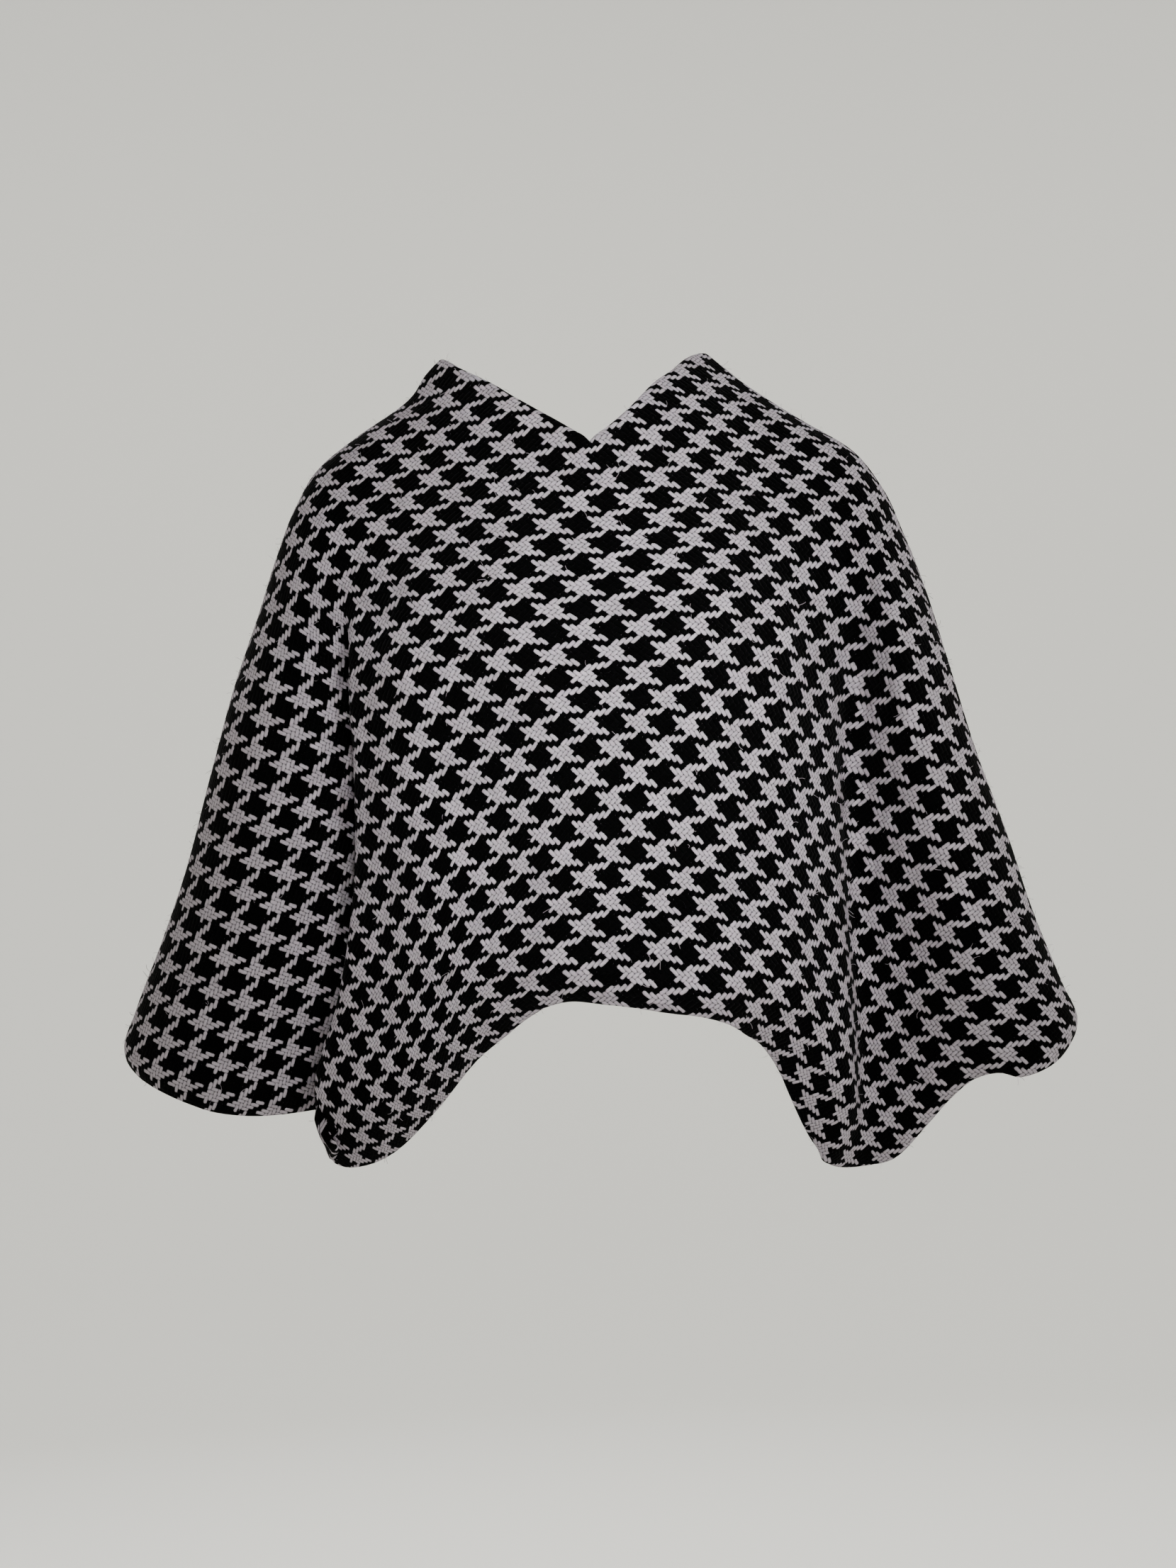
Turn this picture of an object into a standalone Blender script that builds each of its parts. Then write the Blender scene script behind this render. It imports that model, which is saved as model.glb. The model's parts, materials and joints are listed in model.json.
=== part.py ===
"""A hip-length poncho of thick wool cloth, held in the form that it takes when it is worn.

Two panels, front and back, meet at a seam that runs from each peak of the neck over the shoulder and
down the top of the arm. Each panel is a wall on a surface drawn through level sections. A section runs
from one seam over the arm, into the valley beside the body, round the body's flank and across the
front, then the same on the other side. The neck and hem lines trim the sections. Lengths in the tables
are millimetres, +X is the wearer's left, the front faces -Y, and the origin is at shoulder height.
"""

import bpy
import numpy as np

MM = 0.001
WALL = 3.0  # one layer of the cloth
TURNED_WALL = 6.4  # the cloth and the edge turned in behind it
TURN_DEPTH = 30.0  # how far the turned-in edge reaches
TURN_STEP = 9.0  # how softly its end shows through
SEAM_GAP = 0.3
FRONT_COLUMNS = 60
BACK_COLUMNS = 48
FRONT_ROWS = 22
BACK_ROWS = 18
ROUND_STEPS = 3  # points round each turned edge

# Columns stand closer round the folds: this share of a side's columns lies within this place across.
COLUMN_SHARE = (0.0, 0.26, 0.76, 1.0)
COLUMN_PLACE = (0.0, 0.34, 0.72, 1.0)

# Where each named point of a section lies between the centre line, 0, and the seam, 1.
ACROSS = {"centre": 0.0, "body": 0.34, "flank": 0.5, "valley": 0.62, "arm": 0.8, "outer": 1.0}

COLUMNS = "height outer_x arm_x arm_y valley_x valley_y flank_x flank_y body_x body_y centre_y"

# x is the distance from the centre line and y the distance before or behind the seam's plane.
FRONT_RIGHT_ARM = (
    (78, 98, 89, 11, 75, 18, 62, 24, 41, 29, 33),
    (60, 117, 106, 14, 90, 24, 76, 31, 50, 39, 45),
    (41, 132, 118, 18, 98, 31, 82, 39, 55, 49, 58),
    (14, 172, 158, 22, 132, 34, 110, 44, 74, 60, 74),
    (-5, 197, 180, 26, 148, 36, 124, 46, 82, 64, 83),
    (-35, 217, 198, 32, 162, 40, 134, 51, 86, 75, 98),
    (-70, 232, 207, 38, 172, 43, 143, 56, 89, 89, 111),
    (-110, 246, 214, 50, 184, 42, 168, 54, 95, 97, 121),
    (-160, 265, 220, 57, 172, 31, 176, 58, 94, 104, 127),
    (-230, 287, 230, 60, 165, 29, 174, 60, 90, 97, 129),
    (-300, 308, 246, 62, 167, 24, 178, 54, 90, 94, 128),
    (-345, 325, 260, 62, 170, 22, 184, 55, 91, 95, 127),
    (-400, 348, 280, 62, 178, 21, 196, 57, 96, 97, 125),
    (-432, 359, 290, 62, 187, 22, 207, 59, 100, 98, 124),
    (-480, 361, 296, 62, 197, 24, 223, 61, 108, 98, 123),
    (-540, 361, 300, 62, 203, 26, 232, 63, 116, 97, 122),
)
FRONT_LEFT_ARM = (
    (78, 77, 70, 11, 57, 18, 46, 24, 30, 29, 33),
    (60, 96, 87, 14, 72, 24, 60, 31, 41, 39, 45),
    (41, 120, 107, 18, 90, 31, 76, 39, 51, 49, 58),
    (14, 159, 146, 22, 123, 34, 103, 44, 70, 60, 74),
    (-5, 189, 173, 26, 143, 36, 119, 46, 80, 64, 83),
    (-35, 213, 194, 32, 160, 40, 132, 51, 86, 76, 98),
    (-70, 228, 205, 38, 174, 42, 143, 56, 92, 90, 111),
    (-110, 242, 212, 50, 184, 40, 160, 53, 100, 98, 121),
    (-160, 256, 217, 55, 184, 30, 158, 57, 99, 109, 127),
    (-230, 275, 230, 58, 182, 26, 160, 55, 98, 111, 129),
    (-300, 298, 246, 60, 184, 22, 162, 52, 98, 107, 128),
    (-345, 311, 256, 60, 185, 21, 164, 53, 100, 107, 127),
    (-400, 331, 272, 60, 186, 20, 166, 55, 104, 108, 125),
    (-432, 343, 281, 60, 187, 20, 168, 56, 106, 108, 124),
    (-480, 346, 287, 60, 187, 24, 169, 57, 112, 107, 123),
    (-540, 346, 290, 60, 188, 30, 171, 59, 120, 106, 122),
)
BACK_RIGHT_ARM = (
    (78, 98, 89, 11, 75, 17, 62, 23, 41, 28, 32),
    (60, 117, 106, 14, 90, 23, 76, 30, 50, 38, 43),
    (41, 132, 118, 18, 98, 30, 82, 38, 55, 47, 55),
    (14, 172, 158, 22, 132, 34, 110, 44, 74, 59, 70),
    (-5, 197, 180, 27, 149, 38, 124, 48, 82, 65, 79),
    (-35, 217, 198, 34, 165, 46, 138, 58, 90, 78, 94),
    (-70, 232, 207, 42, 174, 53, 146, 66, 96, 91, 107),
    (-110, 246, 215, 52, 179, 57, 152, 72, 98, 100, 116),
    (-160, 265, 223, 58, 183, 51, 156, 71, 100, 102, 120),
    (-230, 287, 238, 61, 183, 43, 158, 67, 102, 99, 119),
    (-300, 308, 253, 62, 185, 39, 160, 63, 104, 95, 115),
    (-345, 325, 266, 62, 188, 37, 162, 61, 105, 93, 113),
    (-400, 348, 283, 62, 192, 35, 166, 61, 108, 92, 111),
    (-432, 359, 291, 62, 196, 36, 169, 61, 110, 91, 110),
    (-480, 361, 296, 62, 201, 38, 174, 61, 113, 90, 109),
    (-540, 361, 300, 62, 204, 40, 177, 61, 116, 89, 108),
)
BACK_LEFT_ARM = (
    (78, 77, 70, 11, 57, 17, 46, 23, 30, 28, 32),
    (60, 96, 87, 14, 72, 23, 60, 30, 41, 38, 43),
    (41, 120, 107, 18, 90, 30, 76, 38, 51, 47, 55),
    (14, 159, 146, 22, 123, 34, 103, 44, 70, 59, 70),
    (-5, 189, 173, 27, 144, 38, 119, 48, 80, 65, 79),
    (-35, 213, 194, 34, 161, 46, 134, 58, 88, 78, 94),
    (-70, 228, 205, 42, 172, 53, 144, 66, 94, 91, 107),
    (-110, 242, 213, 52, 178, 56, 150, 72, 97, 100, 116),
    (-160, 256, 220, 57, 181, 50, 155, 70, 99, 102, 120),
    (-230, 275, 234, 60, 182, 42, 157, 66, 101, 99, 119),
    (-300, 298, 250, 61, 184, 38, 159, 62, 103, 95, 115),
    (-345, 311, 260, 61, 186, 36, 161, 60, 104, 93, 113),
    (-400, 331, 275, 61, 189, 34, 164, 60, 107, 92, 111),
    (-432, 343, 283, 61, 191, 35, 167, 60, 109, 91, 110),
    (-480, 346, 288, 61, 194, 36, 170, 60, 112, 90, 109),
    (-540, 346, 291, 61, 196, 38, 172, 60, 115, 89, 108),
)

# The neck and hem lines: how far across the panel, and the height there.
LINE_COLUMNS = "across height"
FRONT_NECK = (
    (-1.0, 69), (-0.88, 67), (-0.66, 59), (-0.47, 47), (-0.36, 37), (-0.215, 24), (-0.13, 14.5),
    (-0.06, 5), (-0.025, 0), (0.0, -5), (0.025, 0), (0.06, 5), (0.117, 14), (0.18, 23), (0.3, 37),
    (0.45, 49), (0.65, 60), (0.88, 65), (1.0, 65),
)
BACK_NECK = (
    (-1.0, 69), (-0.86, 66), (-0.64, 56), (-0.46, 44), (-0.35, 35), (-0.215, 23), (-0.107, 13),
    (0.0, 8), (0.105, 13), (0.21, 24), (0.29, 33), (0.44, 46), (0.62, 57), (0.84, 64), (1.0, 65),
)
FRONT_HEM = (
    (-1.0, -428), (-0.962, -433), (-0.903, -446), (-0.803, -464), (-0.741, -472), (-0.633, -471),
    (-0.565, -475), (-0.525, -482), (-0.471, -503), (-0.446, -506), (-0.407, -492), (-0.384, -467),
    (-0.359, -435), (-0.31, -412), (-0.25, -399), (-0.17, -394), (0.0, -397), (0.145, -404),
    (0.24, -408), (0.347, -420), (0.386, -429), (0.421, -447), (0.449, -473), (0.475, -495),
    (0.504, -510), (0.552, -520), (0.618, -525), (0.649, -521), (0.691, -496), (0.714, -480),
    (0.743, -465), (0.764, -461), (0.826, -463), (0.885, -456), (0.954, -439), (1.0, -433),
)
BACK_HEM = (
    (-1.0, -428), (-0.96, -433), (-0.9, -446), (-0.8, -462), (-0.72, -467), (-0.6, -471), (-0.5, -464),
    (-0.413, -443), (-0.326, -420), (-0.2, -406), (0.0, -404), (0.2, -407), (0.326, -423),
    (0.412, -444), (0.5, -466), (0.6, -474), (0.72, -466), (0.8, -461), (0.88, -454), (0.95, -439),
    (1.0, -433),
)


def columns(names, rows):
    """A table's rows as a dictionary of named columns, lowest key first."""
    ordered = sorted(rows)
    return {name: np.array([row[i] for row in ordered], float) for i, name in enumerate(names.split())}


def smooth(where, knots, values, end_slopes=None):
    """A smooth curve through values at knots, read at where. Values may have further axes."""
    steps = np.diff(knots)
    shape = (-1,) + (1,) * (values.ndim - 1)
    rises = np.diff(values, axis=0) / steps.reshape(shape)
    slopes = np.concatenate([rises[:1], np.zeros_like(rises[1:]), rises[-1:]])
    before, after = steps[:-1].reshape(shape), steps[1:].reshape(shape)
    slopes[1:-1] = (rises[:-1] * after + rises[1:] * before) / (before + after)
    if end_slopes is not None:
        slopes[0], slopes[-1] = end_slopes
    place = np.clip(np.searchsorted(knots, where, side="right") - 1, 0, len(steps) - 1)
    width = steps[place]
    part = (where - knots[place]) / width
    width = width.reshape(width.shape + (1,) * (values.ndim - 1))
    part = part.reshape(part.shape + (1,) * (values.ndim - 1))
    return (
        values[place] * (1 + 2 * part) * (1 - part) ** 2
        + slopes[place] * width * part * (1 - part) ** 2
        + values[place + 1] * part**2 * (3 - 2 * part)
        - slopes[place + 1] * width * part**2 * (1 - part)
    )


def section_points(left, right, facing, heights):
    """The named points of the sections at these heights, from the -X seam to the +X seam."""
    names = ("outer", "arm", "valley", "flank", "body")
    half_gap = SEAM_GAP / 2
    points = []
    for table, side in ((left, -1), (right, 1)):
        half = []
        for name in names:
            x = smooth(heights, table["height"], table[name + "_x"])
            if name == "outer":
                y = np.full_like(x, half_gap)
            else:
                y = smooth(heights, table["height"], table[name + "_y"])
            half.append(np.stack([side * x, facing * y], axis=-1))
        points.append(half)
    centre_y = (
        smooth(heights, left["height"], left["centre_y"])
        + smooth(heights, right["height"], right["centre_y"])
    ) / 2
    centre = np.stack([np.zeros_like(centre_y), facing * centre_y], axis=-1)
    return np.stack(points[0] + [centre] + points[1][::-1])


def section(left, right, facing, across, heights):
    """Points on the panel's outer face, for arrays of places across and heights."""
    places = [ACROSS[name] for name in ("outer", "arm", "valley", "flank", "body")]
    knots = np.array([-place for place in places] + [0.0] + places[::-1])
    named = section_points(left, right, facing, heights.ravel())
    flat = across.ravel()
    steps = np.diff(knots)[:, None, None]
    rises = np.diff(named, axis=0) / steps
    slopes = np.empty_like(named)
    slopes[1:-1] = (rises[:-1] * steps[1:] + rises[1:] * steps[:-1]) / (steps[:-1] + steps[1:])
    # Each section leaves its seam straight forwards or backwards, so that the panels meet smoothly.
    for end, rise in ((0, rises[0]), (-1, rises[-1])):
        slopes[end, :, 0] = 0.0
        slopes[end, :, 1] = rise[:, 1] * 1.5
    place = np.clip(np.searchsorted(knots, flat, side="right") - 1, 0, len(knots) - 2)
    width = (knots[place + 1] - knots[place])[:, None]
    part = (flat - knots[place])[:, None] / width
    item = np.arange(len(flat))
    level = (
        named[place, item] * (1 + 2 * part) * (1 - part) ** 2
        + slopes[place, item] * width * part * (1 - part) ** 2
        + named[place + 1, item] * part**2 * (3 - 2 * part)
        - slopes[place + 1, item] * width * part**2 * (1 - part)
    )
    points = np.concatenate([level, heights.reshape(-1, 1)], axis=1)
    return points.reshape(across.shape + (3,))


def unit(vectors):
    return vectors / np.maximum(np.linalg.norm(vectors, axis=-1, keepdims=True), 1e-9)


def panel_face(left, right, facing, neck, hem, count_across, count_down):
    """The outer face as a grid: an axis across from seam to seam, and one down from neck to hem."""
    share = np.linspace(-1.0, 1.0, count_across + 1)
    across = np.sign(share) * np.interp(np.abs(share), COLUMN_SHARE, COLUMN_PLACE)
    top = smooth(across, neck["across"], neck["height"], (0.0, 0.0))
    bottom = smooth(across, hem["across"], hem["height"], (0.0, 0.0))
    down = np.linspace(0.0, 1.0, count_down + 1)
    heights = top[:, None] + (bottom - top)[:, None] * down[None, :]
    across_grid = np.repeat(across[:, None], count_down + 1, axis=1)
    return section(left, right, facing, across_grid, heights)


def face_normals(face, facing):
    """Directions out of the cloth. At the seams they stay in the seam's plane."""
    along = np.gradient(face, axis=0)
    down = np.gradient(face, axis=1)
    normals = unit(np.cross(along, down) * facing)
    normals[[0, -1], :, 1] = 0.0
    return unit(normals)


def wall_thickness(face):
    """One layer in the field of the panel, and the turned-in edge as well near the neck and hem."""
    steps = np.linalg.norm(np.diff(face, axis=1), axis=-1)
    from_neck = np.concatenate([np.zeros((len(face), 1)), np.cumsum(steps, axis=1)], axis=1)
    from_hem = from_neck[:, -1:] - from_neck
    nearest = np.minimum(from_neck, from_hem)
    part = np.clip((TURN_DEPTH - nearest) / TURN_STEP, 0.0, 1.0)
    return WALL + (TURNED_WALL - WALL) * part * part * (3 - 2 * part)


def edge_round(face, normals, thickness, facing, row, away):
    """The half-round of one turned edge, from the outer face to the inner, a row of points a step."""
    line = face[:, row]
    along = unit(np.gradient(line, axis=0))
    out = np.cross(along, normals[:, row])
    out = unit(out * np.sign((out * away).sum(axis=-1, keepdims=True)))
    out[[0, -1], 1] = 0.0
    out = unit(out)
    radius = thickness[:, row, None] / 2
    middle = line - normals[:, row] * radius
    rows = []
    for step in range(1, ROUND_STEPS + 1):
        angle = np.pi * step / (ROUND_STEPS + 1)
        rows.append(middle + radius * (np.cos(angle) * normals[:, row] + np.sin(angle) * out))
    return np.stack(rows, axis=1)


def panel_mesh(name, left, right, facing, neck, hem, count_across, count_down):
    """One closed wall: outer face, hem edge, inner face, neck edge, and the two seam edges."""
    face = panel_face(left, right, facing, neck, hem, count_across, count_down)
    normals = face_normals(face, facing)
    thickness = wall_thickness(face)
    inner = face - normals * thickness[:, :, None]
    down_at_hem = face[:, -1] - face[:, -2]
    up_at_neck = face[:, 0] - face[:, 1]
    hem_round = edge_round(face, normals, thickness, facing, -1, down_at_hem)
    neck_round = edge_round(face, normals, thickness, facing, 0, up_at_neck)
    loops = np.concatenate([face, hem_round, inner[:, ::-1], neck_round[:, ::-1]], axis=1)
    number_of_loops, loop_length = loops.shape[:2]
    faces = []
    for i in range(number_of_loops - 1):
        for j in range(loop_length):
            k = (j + 1) % loop_length
            first, second = i * loop_length, (i + 1) * loop_length
            faces.append((first + j, first + k, second + k, second + j))
    rows = count_down + 1
    for i, turned in ((0, False), (number_of_loops - 1, True)):
        start = i * loop_length
        inner_start = rows + ROUND_STEPS
        for j in range(count_down):
            a, b = start + j, start + j + 1
            c = start + inner_start + rows - 1 - (j + 1)
            d = start + inner_start + rows - 1 - j
            faces.append((a, b, c, d) if turned else (d, c, b, a))
        hem_cap = [start + rows - 1 + step for step in range(ROUND_STEPS + 2)]
        neck_cap = [start + inner_start + rows - 1 + step for step in range(ROUND_STEPS + 1)] + [start]
        for cap in (hem_cap, neck_cap):
            faces.append(tuple(cap) if turned else tuple(cap[::-1]))
    if facing > 0:
        faces = [tuple(reversed(corners)) for corners in faces]
    mesh = bpy.data.meshes.new(name)
    mesh.from_pydata([tuple(point * MM) for point in loops.reshape(-1, 3)], [], faces)
    mesh.validate()
    mesh.update()
    panel = bpy.data.objects.new(name, mesh)
    bpy.context.scene.collection.objects.link(panel)
    return panel


def cloth_material(name, colour):
    material = bpy.data.materials.new(name)
    material.use_nodes = True
    shader = material.node_tree.nodes["Principled BSDF"]
    shader.inputs["Base Color"].default_value = (*colour, 1.0)
    shader.inputs["Roughness"].default_value = 0.9
    return material


def main():
    for old in list(bpy.data.objects):
        bpy.data.objects.remove(old, do_unlink=True)
    front = panel_mesh(
        "front",
        columns(COLUMNS, FRONT_RIGHT_ARM),
        columns(COLUMNS, FRONT_LEFT_ARM),
        -1.0,
        columns(LINE_COLUMNS, FRONT_NECK),
        columns(LINE_COLUMNS, FRONT_HEM),
        FRONT_COLUMNS,
        FRONT_ROWS,
    )
    back = panel_mesh(
        "back",
        columns(COLUMNS, BACK_RIGHT_ARM),
        columns(COLUMNS, BACK_LEFT_ARM),
        1.0,
        columns(LINE_COLUMNS, BACK_NECK),
        columns(LINE_COLUMNS, BACK_HEM),
        BACK_COLUMNS,
        BACK_ROWS,
    )
    front.data.materials.append(cloth_material("front_wool", (0.24, 0.23, 0.24)))
    back.data.materials.append(cloth_material("back_wool", (0.23, 0.22, 0.23)))


main()
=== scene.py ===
# %% [markdown]
# # A houndstooth wool poncho, worn
#
# This lesson dresses a plain CAD model of a poncho until it looks like thick woven wool. The poncho is
# two panels of one cloth, front and back, joined along the shoulders and the tops of the arms. What
# makes it look real is its drape, its rolled edges, and a weave that follows the cloth round each fold.
#
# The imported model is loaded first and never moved. Its box is kept, so that the end of the script can
# show how far the finished cloth stands from it. Lengths in the tables are millimetres. X is the
# wearer's left, the front faces -Y, and the origin is at shoulder height.

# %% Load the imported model
import json
import math

import bpy
import numpy as np
from mathutils import Matrix, Vector

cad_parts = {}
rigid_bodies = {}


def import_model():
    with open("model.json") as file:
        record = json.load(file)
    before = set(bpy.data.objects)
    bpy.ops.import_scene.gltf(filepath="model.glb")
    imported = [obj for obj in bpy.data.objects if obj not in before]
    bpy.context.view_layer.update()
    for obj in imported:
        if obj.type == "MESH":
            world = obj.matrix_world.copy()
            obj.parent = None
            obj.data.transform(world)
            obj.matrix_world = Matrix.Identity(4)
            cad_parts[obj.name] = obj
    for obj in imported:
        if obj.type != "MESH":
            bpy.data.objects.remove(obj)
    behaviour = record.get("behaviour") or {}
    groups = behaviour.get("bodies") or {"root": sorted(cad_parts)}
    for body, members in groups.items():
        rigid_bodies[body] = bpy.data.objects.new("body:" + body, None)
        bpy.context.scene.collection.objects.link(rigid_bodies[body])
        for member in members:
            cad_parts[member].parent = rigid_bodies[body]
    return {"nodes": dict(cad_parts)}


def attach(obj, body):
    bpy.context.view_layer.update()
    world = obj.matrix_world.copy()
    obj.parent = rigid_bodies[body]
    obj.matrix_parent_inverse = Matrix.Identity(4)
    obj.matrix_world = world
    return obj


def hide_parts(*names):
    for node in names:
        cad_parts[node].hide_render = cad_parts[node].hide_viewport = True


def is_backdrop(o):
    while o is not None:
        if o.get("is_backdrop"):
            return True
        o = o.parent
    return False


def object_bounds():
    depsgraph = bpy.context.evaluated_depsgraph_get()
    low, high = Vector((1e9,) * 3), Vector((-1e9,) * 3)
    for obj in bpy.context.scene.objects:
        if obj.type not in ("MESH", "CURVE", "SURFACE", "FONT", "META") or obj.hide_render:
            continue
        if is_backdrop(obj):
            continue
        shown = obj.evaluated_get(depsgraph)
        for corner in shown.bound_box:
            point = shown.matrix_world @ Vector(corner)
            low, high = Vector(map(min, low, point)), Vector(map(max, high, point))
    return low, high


MM = 0.001
for old in list(bpy.data.objects):
    bpy.data.objects.remove(old, do_unlink=True)
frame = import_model()
cad_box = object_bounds()
print("packed nodes:", sorted(frame["nodes"]))
print("packed box in mm:", [round((high - low) / MM, 1) for low, high in zip(*cad_box)])

# %% [markdown]
# ## The sizes of the garment
#
# A worn cloth is easiest to describe by level sections, as a pattern cutter describes a body by its
# girths. Each row of a table is one height. Its named columns say where the section passes on its way
# from the seam over the arm, into the valley beside the body, round the flank, and to the centre line.
# Two more tables give the neck line and the hem line, which trim the sections. The points of the lines
# were chosen one by one at first. When the sections changed later, a fitting program moved most of them a
# little, so that the lines kept their places in the view from the front.

# %% Section tables
# How far across the panel each named point lies, from the centre line at 0 to the seam at 1
ACROSS = {"outer": 1.0, "arm": 0.8, "valley": 0.62, "flank": 0.5, "body": 0.34}
COLUMNS = "height outer_x arm_x arm_y valley_x valley_y flank_x flank_y body_x body_y centre_y"
FRONT_RIGHT_ARM = (
    (78, 98, 89, 11, 75, 18, 62, 24, 41, 29, 33),
    (60, 117, 106, 14, 90, 24, 76, 31, 50, 39, 45),
    (41, 132, 118, 18, 98, 31, 82, 39, 55, 49, 58),
    (14, 172, 158, 22, 132, 34, 110, 44, 74, 60, 74),
    (-5, 197, 180, 26, 148, 36, 124, 46, 82, 64, 83),
    (-35, 217, 198, 32, 162, 40, 134, 51, 86, 75, 98),
    (-70, 232, 207, 38, 172, 43, 143, 56, 89, 89, 111),
    (-110, 246, 214, 50, 184, 42, 168, 54, 95, 97, 121),
    (-160, 265, 220, 57, 172, 31, 176, 58, 94, 104, 127),
    (-230, 287, 230, 60, 165, 29, 174, 60, 90, 97, 129),
    (-300, 308, 246, 62, 167, 24, 178, 54, 90, 94, 128),
    (-345, 325, 260, 62, 170, 22, 184, 55, 91, 95, 127),
    (-400, 348, 280, 62, 178, 21, 196, 57, 96, 97, 125),
    (-432, 359, 290, 62, 187, 22, 207, 59, 100, 98, 124),
    (-480, 361, 296, 62, 197, 24, 223, 61, 108, 98, 123),
    (-540, 361, 300, 62, 203, 26, 232, 63, 116, 97, 122),
)
FRONT_LEFT_ARM = (
    (78, 77, 70, 11, 57, 18, 46, 24, 30, 29, 33),
    (60, 96, 87, 14, 72, 24, 60, 31, 41, 39, 45),
    (41, 120, 107, 18, 90, 31, 76, 39, 51, 49, 58),
    (14, 159, 146, 22, 123, 34, 103, 44, 70, 60, 74),
    (-5, 189, 173, 26, 143, 36, 119, 46, 80, 64, 83),
    (-35, 213, 194, 32, 160, 40, 132, 51, 86, 76, 98),
    (-70, 228, 205, 38, 174, 42, 143, 56, 92, 90, 111),
    (-110, 242, 212, 50, 184, 40, 160, 53, 100, 98, 121),
    (-160, 256, 217, 55, 184, 30, 158, 57, 99, 109, 127),
    (-230, 275, 230, 58, 182, 26, 160, 55, 98, 111, 129),
    (-300, 298, 246, 60, 184, 22, 162, 52, 98, 107, 128),
    (-345, 311, 256, 60, 185, 21, 164, 53, 100, 107, 127),
    (-400, 331, 272, 60, 186, 20, 166, 55, 104, 108, 125),
    (-432, 343, 281, 60, 187, 20, 168, 56, 106, 108, 124),
    (-480, 346, 287, 60, 187, 24, 169, 57, 112, 107, 123),
    (-540, 346, 290, 60, 188, 30, 171, 59, 120, 106, 122),
)
BACK_RIGHT_ARM = (
    (78, 98, 89, 11, 75, 17, 62, 23, 41, 28, 32),
    (60, 117, 106, 14, 90, 23, 76, 30, 50, 38, 43),
    (41, 132, 118, 18, 98, 30, 82, 38, 55, 47, 55),
    (14, 172, 158, 22, 132, 34, 110, 44, 74, 59, 70),
    (-5, 197, 180, 27, 149, 38, 124, 48, 82, 65, 79),
    (-35, 217, 198, 34, 165, 46, 138, 58, 90, 78, 94),
    (-70, 232, 207, 42, 174, 53, 146, 66, 96, 91, 107),
    (-110, 246, 215, 52, 179, 57, 152, 72, 98, 100, 116),
    (-160, 265, 223, 58, 183, 51, 156, 71, 100, 102, 120),
    (-230, 287, 238, 61, 183, 43, 158, 67, 102, 99, 119),
    (-300, 308, 253, 62, 185, 39, 160, 63, 104, 95, 115),
    (-345, 325, 266, 62, 188, 37, 162, 61, 105, 93, 113),
    (-400, 348, 283, 62, 192, 35, 166, 61, 108, 92, 111),
    (-432, 359, 291, 62, 196, 36, 169, 61, 110, 91, 110),
    (-480, 361, 296, 62, 201, 38, 174, 61, 113, 90, 109),
    (-540, 361, 300, 62, 204, 40, 177, 61, 116, 89, 108),
)
BACK_LEFT_ARM = (
    (78, 77, 70, 11, 57, 17, 46, 23, 30, 28, 32),
    (60, 96, 87, 14, 72, 23, 60, 30, 41, 38, 43),
    (41, 120, 107, 18, 90, 30, 76, 38, 51, 47, 55),
    (14, 159, 146, 22, 123, 34, 103, 44, 70, 59, 70),
    (-5, 189, 173, 27, 144, 38, 119, 48, 80, 65, 79),
    (-35, 213, 194, 34, 161, 46, 134, 58, 88, 78, 94),
    (-70, 228, 205, 42, 172, 53, 144, 66, 94, 91, 107),
    (-110, 242, 213, 52, 178, 56, 150, 72, 97, 100, 116),
    (-160, 256, 220, 57, 181, 50, 155, 70, 99, 102, 120),
    (-230, 275, 234, 60, 182, 42, 157, 66, 101, 99, 119),
    (-300, 298, 250, 61, 184, 38, 159, 62, 103, 95, 115),
    (-345, 311, 260, 61, 186, 36, 161, 60, 104, 93, 113),
    (-400, 331, 275, 61, 189, 34, 164, 60, 107, 92, 111),
    (-432, 343, 283, 61, 191, 35, 167, 60, 109, 91, 110),
    (-480, 346, 288, 61, 194, 36, 170, 60, 112, 90, 109),
    (-540, 346, 291, 61, 196, 38, 172, 60, 115, 89, 108),
)
print("sections from", FRONT_RIGHT_ARM[0][0], "down to", FRONT_RIGHT_ARM[-1][0], "mm:", len(FRONT_RIGHT_ARM))

# %% Neck and hem lines
LINE_COLUMNS = "across height"
FRONT_NECK = (
    (-1.0, 69), (-0.88, 67), (-0.66, 59), (-0.47, 47), (-0.36, 37), (-0.215, 24), (-0.13, 14.5),
    (-0.06, 5), (-0.025, 0), (0.0, -5), (0.025, 0), (0.06, 5), (0.117, 14), (0.18, 23), (0.3, 37),
    (0.45, 49), (0.65, 60), (0.88, 65), (1.0, 65),
)
BACK_NECK = (
    (-1.0, 69), (-0.86, 66), (-0.64, 56), (-0.46, 44), (-0.35, 35), (-0.215, 23), (-0.107, 13),
    (0.0, 8), (0.105, 13), (0.21, 24), (0.29, 33), (0.44, 46), (0.62, 57), (0.84, 64), (1.0, 65),
)
FRONT_HEM = (
    (-1.0, -428), (-0.962, -433), (-0.903, -446), (-0.803, -464), (-0.741, -472), (-0.633, -471),
    (-0.565, -475), (-0.525, -482), (-0.471, -503), (-0.446, -506), (-0.407, -492), (-0.384, -467),
    (-0.359, -435), (-0.31, -412), (-0.25, -399), (-0.17, -394), (0.0, -397), (0.145, -404),
    (0.24, -408), (0.347, -420), (0.386, -429), (0.421, -447), (0.449, -473), (0.475, -495),
    (0.504, -510), (0.552, -520), (0.618, -525), (0.649, -521), (0.691, -496), (0.714, -480),
    (0.743, -465), (0.764, -461), (0.826, -463), (0.885, -456), (0.954, -439), (1.0, -433),
)
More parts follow.
